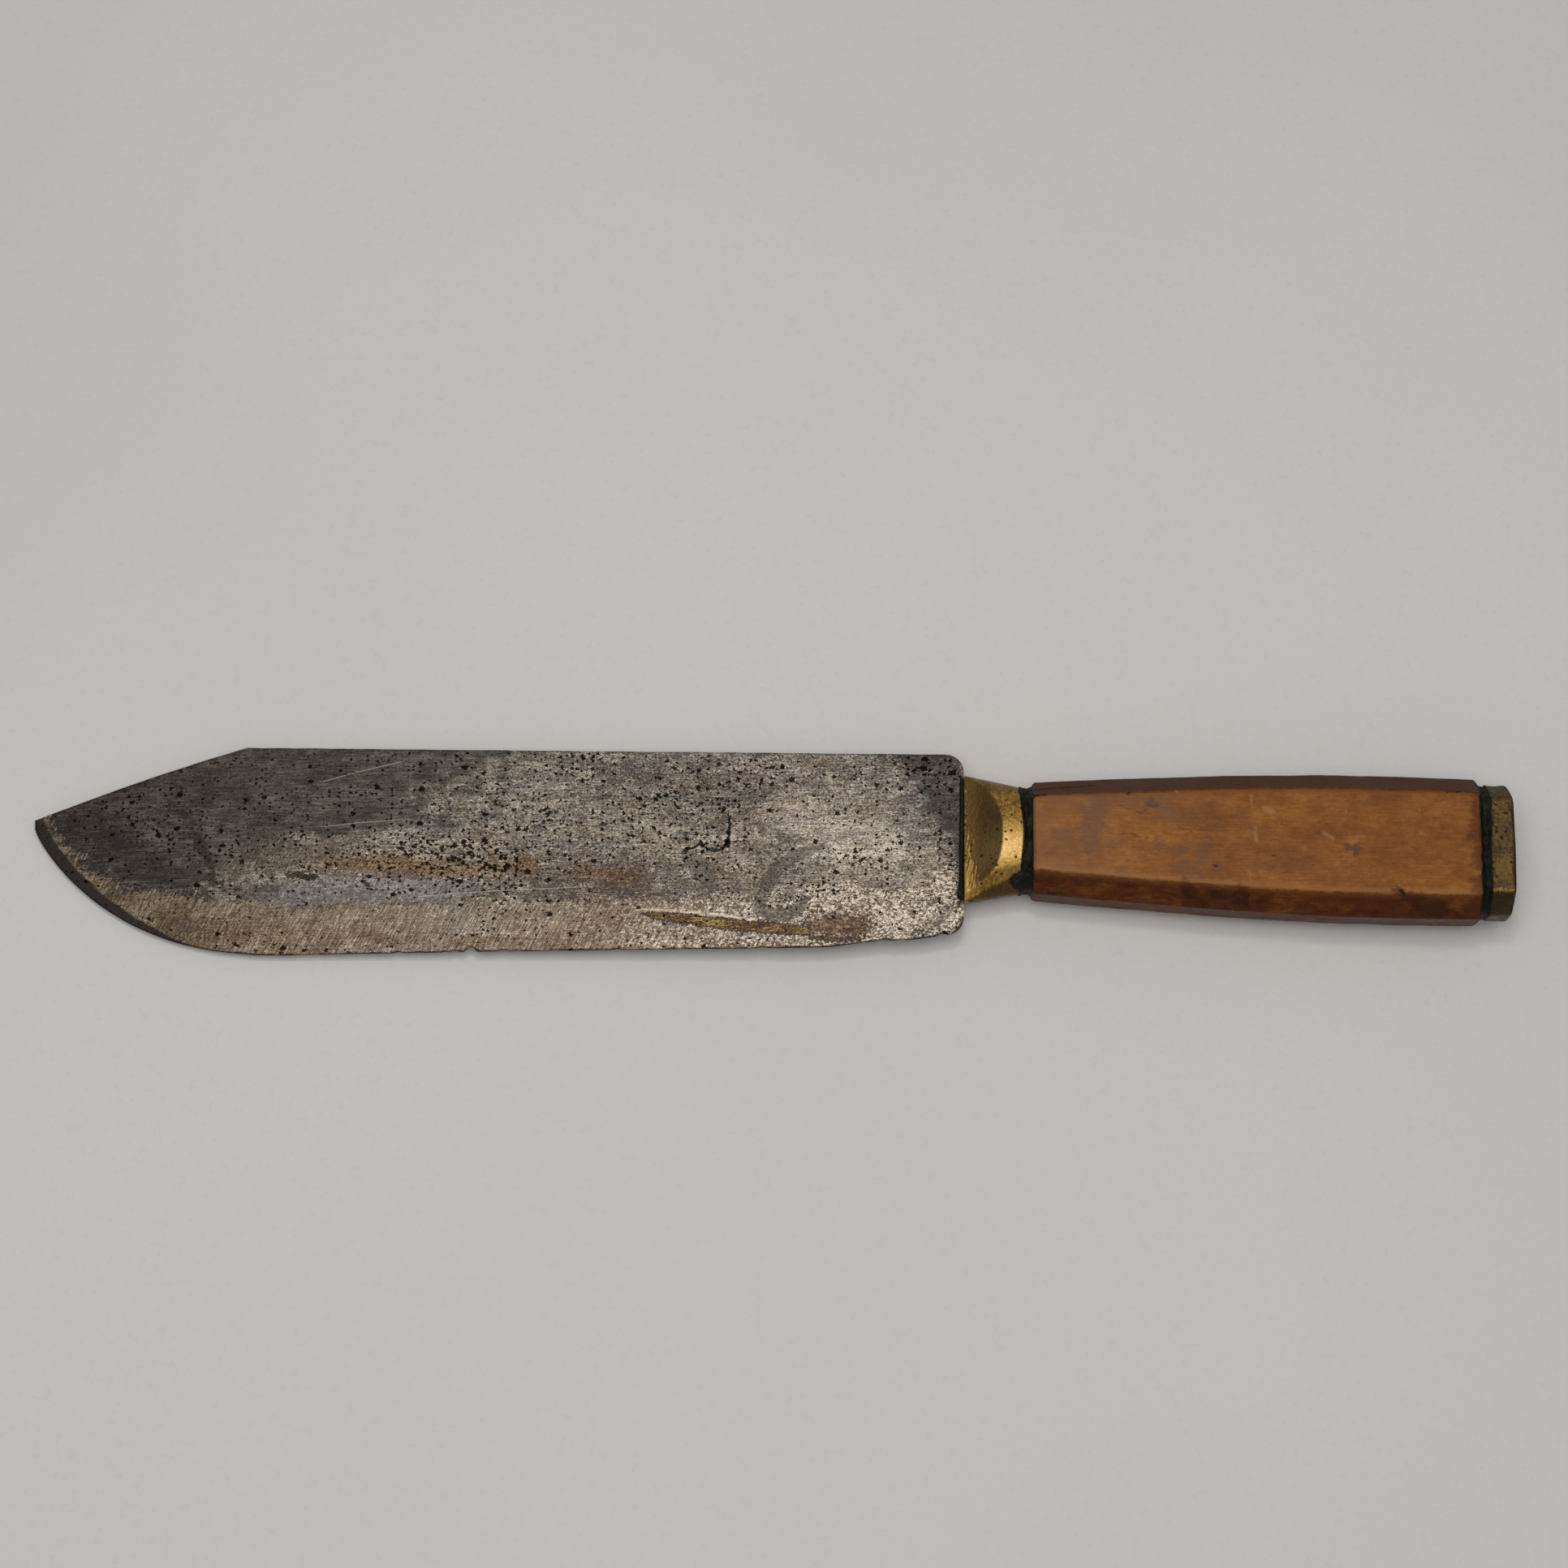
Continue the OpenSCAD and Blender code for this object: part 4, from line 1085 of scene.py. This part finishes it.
# Places on the grip's upper side, drawn as the blade's are: stains, checks in the grain, pale scuffs
gripMarks = {
    "stain": [
        [(42.7, 6.5, 0.7), (43.6, 6.6, 0.9)],
        [(90.1, -3.3, 1.0), (91.1, -3.5, 1.2)],
    ],
    "smoke": [
        [(45.7, -2.6, 1.0), (46.0, -3.6, 1.2)],
        [(50.0, -4.5, 1.0), (50.6, -5.0, 0.8)],
        [(30.6, 8.2, 1.0), (30.2, 3.5, 2.2), (29.1, -1.6, 2.0), (28.7, -5.3, 0.6)],
        [(22.0, -0.6, 1.6), (23.4, -1.7, 1.4)],
        [(49.1, -8.3, 1.4), (53.3, -9.4, 1.6)],
        [(55.9, -3.5, 1.5), (54.8, -6.8, 1.2)],
    ],
    "check": [
        [(35.2, 2.8, 0.12), (35.2, 2.5, 0.12)],
        [(38.0, 9.3, 0.1), (38.8, 9.6, 0.22)],
        [(57.3, -7.6, 0.1), (58.6, -7.9, 0.25), (59.4, -8.0, 0.05)],
        [(64.2, 1.1, 0.15), (64.9, 0.9, 0.1)],
        [(76.8, 1.6, 0.05), (77.7, 1.8, 0.15)],
        [(71.8, -5.3, 0.05), (72.5, -5.4, 0.1)],
        [(88.1, -7.7, 0.1), (89.2, -8.1, 0.16)],
        [(107.7, -10.8, 0.1), (108.1, -11.0, 0.14)],
        [(113.2, 10.7, 0.1), (114.0, 10.6, 0.2)],
        [(114.7, 10.6, 0.08), (115.6, 10.5, 0.2), (116.4, 10.6, 0.08)],
    ],
    "split": [
        [(15.0, 10.3, 0.2), (22.5, 11.1, 0.14), (30.3, 12.1, 0.05)],
        [(15.0, 8.4, 0.34), (17.8, 8.8, 0.2), (20.1, 9.3, 0.02)],
        [(15.0, -13.6, 0.1), (22.5, -13.7, 0.02)],
        [(100.6, -12.6, 0.05), (102.6, -14.2, 0.3)],
    ],
    "scratch": [
        [(35.2, 6.8, 0.0), (40.1, 5.1, 0.1), (42.6, 3.8, 0.0)],
        [(36.5, -0.1, 0.0), (43.2, -1.5, 0.08)],
        [(46.4, 2.4, 0.0), (51.0, 1.2, 0.1), (53.8, -0.3, 0.12), (55.6, 0.0, 0.0)],
        [(55.9, -2.1, 0.0), (61.2, -3.5, 0.06)],
        [(70.3, 2.7, 0.0), (74.0, 2.5, 0.08), (75.8, 2.0, 0.0)],
        [(82.1, 3.2, 0.0), (85.4, 2.6, 0.08)],
        [(78.6, -7.1, 0.0), (81.8, -7.6, 0.08)],
    ],
    "scuff": [
        [(67.2, 9.1, 0.3), (67.8, 4.5, 0.2)],
        [(67.6, 3.0, 0.2), (68.2, -1.9, 0.5)],
        [(70.4, 6.1, 0.7), (72.1, 5.3, 0.6)],
        [(89.8, 6.9, 0.05), (89.1, 4.8, 0.15)],
        [(35.4, 0.6, 0.1), (35.3, -0.2, 0.15)],
        [(49.6, 9.9, 0.2), (50.3, 9.4, 0.2)],
        [(48.2, 1.1, 0.05), (48.0, 0.4, 0.15)],
        [(49.8, -6.1, 0.2), (50.1, -6.4, 0.1)],
        [(106.8, 6.3, 0.25), (106.8, 6.1, 0.2)],
        [(83.9, 0.5, 0.3), (86.0, -1.0, 0.5)],
        [(69.0, -9.1, 0.2), (69.0, -9.6, 0.15)],
    ],
    "chip": [
        [(100.6, -13.4, 0.3), (103.7, -14.9, 1.0), (107.3, -16.2, 1.4), (111.6, -17.0, 1.1),
         (114.5, -17.2, 0.3)],
        [(51.0, -12.4, 0.6), (53.2, -13.6, 0.8)],
        [(64.0, -13.4, 0.8), (65.6, -15.0, 0.6)],
    ],
}


def woodFinish():
    # Close-grained fruitwood, oiled by hands for years: short fine fibres along the grip, dark in the pores,
    # patchy brown stain, corner facets darker with grime and painted shade, darkest the lower ones
    material, t, shader, m = newMaterial(
        "handledFruitwood", ["belowArris", "aboveArris", "fromFront", "fromRear", *gripMarks])
    fibre = pattern(t, (6.0, 0.3, 0.3), detail=4.0, roughness=0.6)
    pores = pattern(t, (1.6, 0.17, 0.17), move=(3, 5, 1))
    clouds = pattern(t, (17.0, 8.5, 8.5), detail=4.0, roughness=0.6, move=(11, 0, 0))
    patches = pattern(t, (4.8, 3.4, 3.2), detail=5.0, roughness=0.68, warp=0.5)
    mottle = pattern(t, (1.3, 1.0, 1.0), detail=4.0, roughness=0.7, move=(5, 9, 2))
    tone = vary(t, 0.5, [(fibre, 0.5), (clouds, 0.9), (patches, 0.7), (mottle, 0.5), (pores, 0.2)])
    base = addNode(t, rampKind, {"Fac": tone}, ramp=[
        (0.2, "#5c330f"), (0.42, "#6f4013"), (0.58, "#7d4b1b"), (0.82, "#92602b")])
    tone = vary(t, 0.5, [(clouds, 1.0), (patches, 1.3), (fibre, 0.6)])
    lowFacetShade = addNode(t, rampKind, {"Fac": tone}, ramp=[
        (0.22, "#2c1204"), (0.42, "#401c07"), (0.58, "#4c2409"), (0.8, "#653810")])
    low = vary(t, m["belowArris"], [(mottle, 1.6), (patches, 1.4), (fibre, 0.8)])
    high = vary(t, m["aboveArris"], [(mottle, 1.6), (patches, 1.4), (fibre, 0.8)])
    rear = vary(t, m["fromRear"], [(patches, 9.0), (mottle, 4.0)])
    front = vary(t, m["fromFront"], [(clouds, 60.0), (patches, 30.0)])
    soft = {name: vary(t, m[name], [(patches, 5.0), (mottle, 4.0)]) for name in ("stain", "smoke", "chip")}
    fine = {name: vary(t, m[name], [(mottle, 2.0), (fibre, 0.6)])
            for name in ("check", "split", "scratch", "scuff")}
    tint = paint(t, base, [
        (front, 40.0, 5.0, 0.2, "#7a5f48"),
        (soft["smoke"], 1.2, -0.6, 0.4, "#59402f"),
        (low, -2.2, -0.4, 0.4, "#8d6238"),
        # painted shade with grime on the upper corner facet, and a dark line under its arris
        (high, -1.2, -0.5, 0.5, "#683c19"),
        (high, -0.5, 0.5, 0.9, "#361906"),
        # painted shade with grime on the lower corner facet
        (low, -0.2, 0.4, 0.8, "#4a240b"),
        (low, 0.3, 1.3, 0.92, lowFacetShade),
        (rear, 3.6, 1.0, 0.7, "#44200d"),
        (soft["stain"], 1.0, -0.5, 0.7, "#3f3129"),
        (soft["chip"], 1.0, -0.3, 0.65, "#281205"),
        (fine["scuff"], 0.3, -0.2, 0.4, "#9a7351"),
        (fine["scratch"], 0.16, 0.02, 0.5, "#472814"),
        (pores, 0.36, 0.28, 0.4, "#472a15"),
        (fine["check"], 0.12, 0.0, 0.9, "#1c0f07"),
        (fine["split"], 0.14, 0.0, 0.95, "#150b06"),
    ])
    split = addNode(t, rangeKind, [fine["split"], -0.2, 0.2, -0.3, 0.0])
    height = total(t, [(fibre, 0.06), (pores, 0.04), (patches, 0.12), (mottle, 0.06), (split, 1.0)])
    gloss = vary(t, 0.42, [(mottle, 0.5), (clouds, 0.5)])
    finishShader(t, shader, height, 0.5, {
        "Base Color": tint, "Roughness": gloss, "Specular IOR Level": 0.1})
    return material


def pitchFinish():
    # Cutler's pitch: near black with a green cast, skinned over glossy, with pale specks of painted glints
    # and dust where it has crazed
    material, t, shader = newMaterial("blackGreenPitch")[:3]
    lumps = pattern(t, (1.5, 1.5, 1.5), detail=5.0, roughness=0.65)
    dustAndGlints = pattern(t, (0.5, 0.9, 0.7), detail=3.0, roughness=0.7)
    tint = paint(t, colour("#080804"), [
        (lumps, 0.5, 0.7, 0.7, "#15140b"),
        # pale specks: painted glints, and dust
        (dustAndGlints, 0.62, 0.72, 0.5, "#565840"),
    ])
    gloss = addNode(t, rangeKind, [dustAndGlints, 0.35, 0.68, 0.3, 0.7])
    finishShader(t, shader, total(t, [(lumps, 0.5), (dustAndGlints, 0.12)]), 0.8, {
        "Base Color": tint, "Roughness": gloss, "Specular IOR Level": 0.12})
    return material


def markGrip(piece):
    co = np.array([v.co for v in piece.data.vertices])
    x, y, z = ((co - np.array(datum)) / mm).T
    arris = gripHigh(x) / 2 - grip["facetHigh"]
    off = y - centreY(x)
    marks = {
        "belowArris": -off - arris,
        "aboveArris": off - arris,
        "fromFront": x - gripStart,
        "fromRear": gripEnd - x,
    }
    for name, paths in gripMarks.items():
        marks[name] = np.where(z > 0, nearAny(x, y, paths), 50.0)
    addMarks(piece, marks)


steel = bladeSteel.data.materials[0]
brass, tarnished, wood, black = bolsterFinish(), capFinish(), woodFinish(), pitchFinish()
gripWood = makeGrip(wood)
markGrip(gripWood)
# how far each seam's pitch has spread forward and back, direction by direction
frontCover = (1 - np.sin(turns) ** 6, 0.2 + 0 * turns)
rearCover = (1 + 0 * turns, smooth(np.cos(turns), -0.6, 0.5))
frontPitch = makeSeam("frontPitch", bolsterLength, gripStart, bolsterOutline, gripOutline, 40, frontCover,
                      bolster["rimBulge"], frontRun)
rearPitch = makeSeam("rearPitch", gripEnd, capStart, gripOutline, capOutline, 60, rearCover)
pieces = [
    (makeTang(), "blade", "steel", steel),
    (makeBolster(), "bolster", "brass", brass),
    (makeCap(), "end_cap", "brass", tarnished),
    (gripWood, "grip", "wood", None),
    (frontPitch, "front_seam", "pitch", black),
    (rearPitch, "rear_seam", "pitch", black),
    (makeBead(black), "shoulder_bead", "pitch", None),
]
for piece, node, slot, finish in pieces:
    if finish:
        piece.data.materials.append(finish)
    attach(piece, "root")
    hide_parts(node)
    print(piece.name, "made,", len(piece.data.polygons), "faces")
for name in ("bolster_fill", "tang_bedding"):
    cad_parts[name].data.materials.clear()
    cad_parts[name].data.materials.append(black)


# Table, camera and lights
stage = {
    "reach": 3200.0, "fineRows": (-580.0, 480.0), "rowGap": 20.0,
    "nearPoint": -250.0, "nearButt": 150.0, "level": 45.0,
    "tint": "#c2bfbb", "sky": "#c4c3bf", "skyLight": 0.42, "around": "#e4e5e6",
    "lampAway": 1.05,
    # each lamp: name, width, lean towards the spine in degrees, power
    "lamps": [("softbox", 0.75, -4.0, 6.8), ("ceilingLamp", 0.12, 11.0, 0.95)],
}
# fitted to the photograph: what the lens looks at, from how far and from what direction
camera = {
    "aim": (2.77, 17.8, 9.5), "away": 900.0, "elevation": 75.24, "roll": 0.6,
    "focalPixels": 4662.7, "photoPixels": 1932, "sensorWidth": 36.0, "clip": (0.02, 20.0),
}


def tableHeight(x):
    # the knife rests on its point and on the grip's front end, so the table under it is not quite level
    restX, restZ = gripStart + grip["ease"], -gripThick / 2
    slope = (-blade["pointThick"] / 2 - restZ) / (restX + bladeLength)
    low, high, k = stage["nearPoint"], stage["nearButt"], stage["level"]
    eased = low + k * np.logaddexp(0, (x - low) / k)
    eased = high - k * np.logaddexp(0, (high - eased) / k)
    return restZ + slope * (restX - eased)


def makeTable():
    b = stage
    far, gap = b["reach"], b["rowGap"]
    left, right = b["fineRows"]
    x = np.concatenate([
        np.linspace(-far, left - gap, 12), np.linspace(left, right, 160), np.linspace(right + gap, far, 12)])
    y = np.linspace(-far, far, 9)
    points = [(px, py, pz) for px, pz in zip(x, tableHeight(x)) for py in y]
    columns = len(y)
    faces = [(i * columns + j, (i + 1) * columns + j, (i + 1) * columns + j + 1, i * columns + j + 1)
             for i in range(len(x) - 1) for j in range(columns - 1)]
    table = newPiece("table", toFrame(points), [], faces)
    # Laminate with a fine orange-peel texture, which breaks up its dull sheen
    material, t, shader = newMaterial("orangePeelLaminate")[:3]
    peel = pattern(t, (1.6, 1.6, 1.6))
    cloud = pattern(t, (260, 260, 260))
    tint = paint(t, colour(b["tint"]), [
        (cloud, 0.35, 0.7, 0.35, "#b7b6b2"),
        (peel, 0.55, 0.75, 0.25, "#b2b1ad"),
    ])
    finishShader(t, shader, peel, 0.35, {
        "Base Color": tint, "Roughness": 0.62, "Specular IOR Level": 0.25}, deep=0.25)
    table.data.materials.append(material)


def makeCamera():
    c = camera
    lift, roll = math.radians(c["elevation"]), math.radians(c["roll"])
    lens = bpy.data.cameras.new("photoCamera")
    lens.sensor_width = c["sensorWidth"]
    lens.lens = c["sensorWidth"] * c["focalPixels"] / c["photoPixels"]
    lens.clip_start, lens.clip_end = c["clip"]
    eye = bpy.data.objects.new("photoCamera", lens)
    bpy.context.collection.objects.link(eye)
    back = Vector((0, -math.cos(lift), math.sin(lift)))
    eye.location = Vector(c["aim"]) * mm + back * c["away"] * mm
    facing = (-back).to_track_quat("-Z", "Y").to_matrix() @ Matrix.Rotation(roll, 3, "Z")
    eye.rotation_mode = "QUATERNION"
    eye.rotation_quaternion = facing.to_quaternion()
    bpy.context.scene.camera = eye


def makeLight():
    b = stage
    for name, wide, lean, power in b["lamps"]:
        lamp = bpy.data.lights.new(name, "AREA")
        lamp.shape = "DISK"
        lamp.size = wide
        lamp.energy = power
        lean = math.radians(lean)
        holder = bpy.data.objects.new(name, lamp)
        holder.location = (0, b["lampAway"] * math.sin(lean), b["lampAway"] * math.cos(lean))
        holder.rotation_euler = (-lean, 0, 0)
        bpy.context.collection.objects.link(holder)
    # the room gives an even light, and beyond the table the camera sees only a pale backdrop
    world = bpy.data.worlds.new("room")
    world.use_nodes = True
    t = world.node_tree
    room = t.nodes["Background"]
    room.inputs["Color"].default_value = colour(b["around"])
    room.inputs["Strength"].default_value = b["skyLight"]
    backdrop = addNode(t, "ShaderNodeBackground", {"Color": colour(b["sky"]), "Strength": 1.0})
    ray = addNode(t, "ShaderNodeLightPath").node.outputs
    seen = addNode(t, mathKind, [ray["Is Camera Ray"], ray["Is Glossy Ray"]], operation="MAXIMUM")
    seen = addNode(t, mathKind, [seen, ray["Is Transmission Ray"]], operation="MAXIMUM")
    mixed = addNode(t, "ShaderNodeMixShader", [seen, room.outputs[0], backdrop])
    t.links.new(mixed, t.nodes["World Output"].inputs["Surface"])
    bpy.context.scene.world = world


makeTable()
makeCamera()
makeLight()
bpy.context.scene.view_settings.view_transform = "Standard"
print("table, camera and light made")
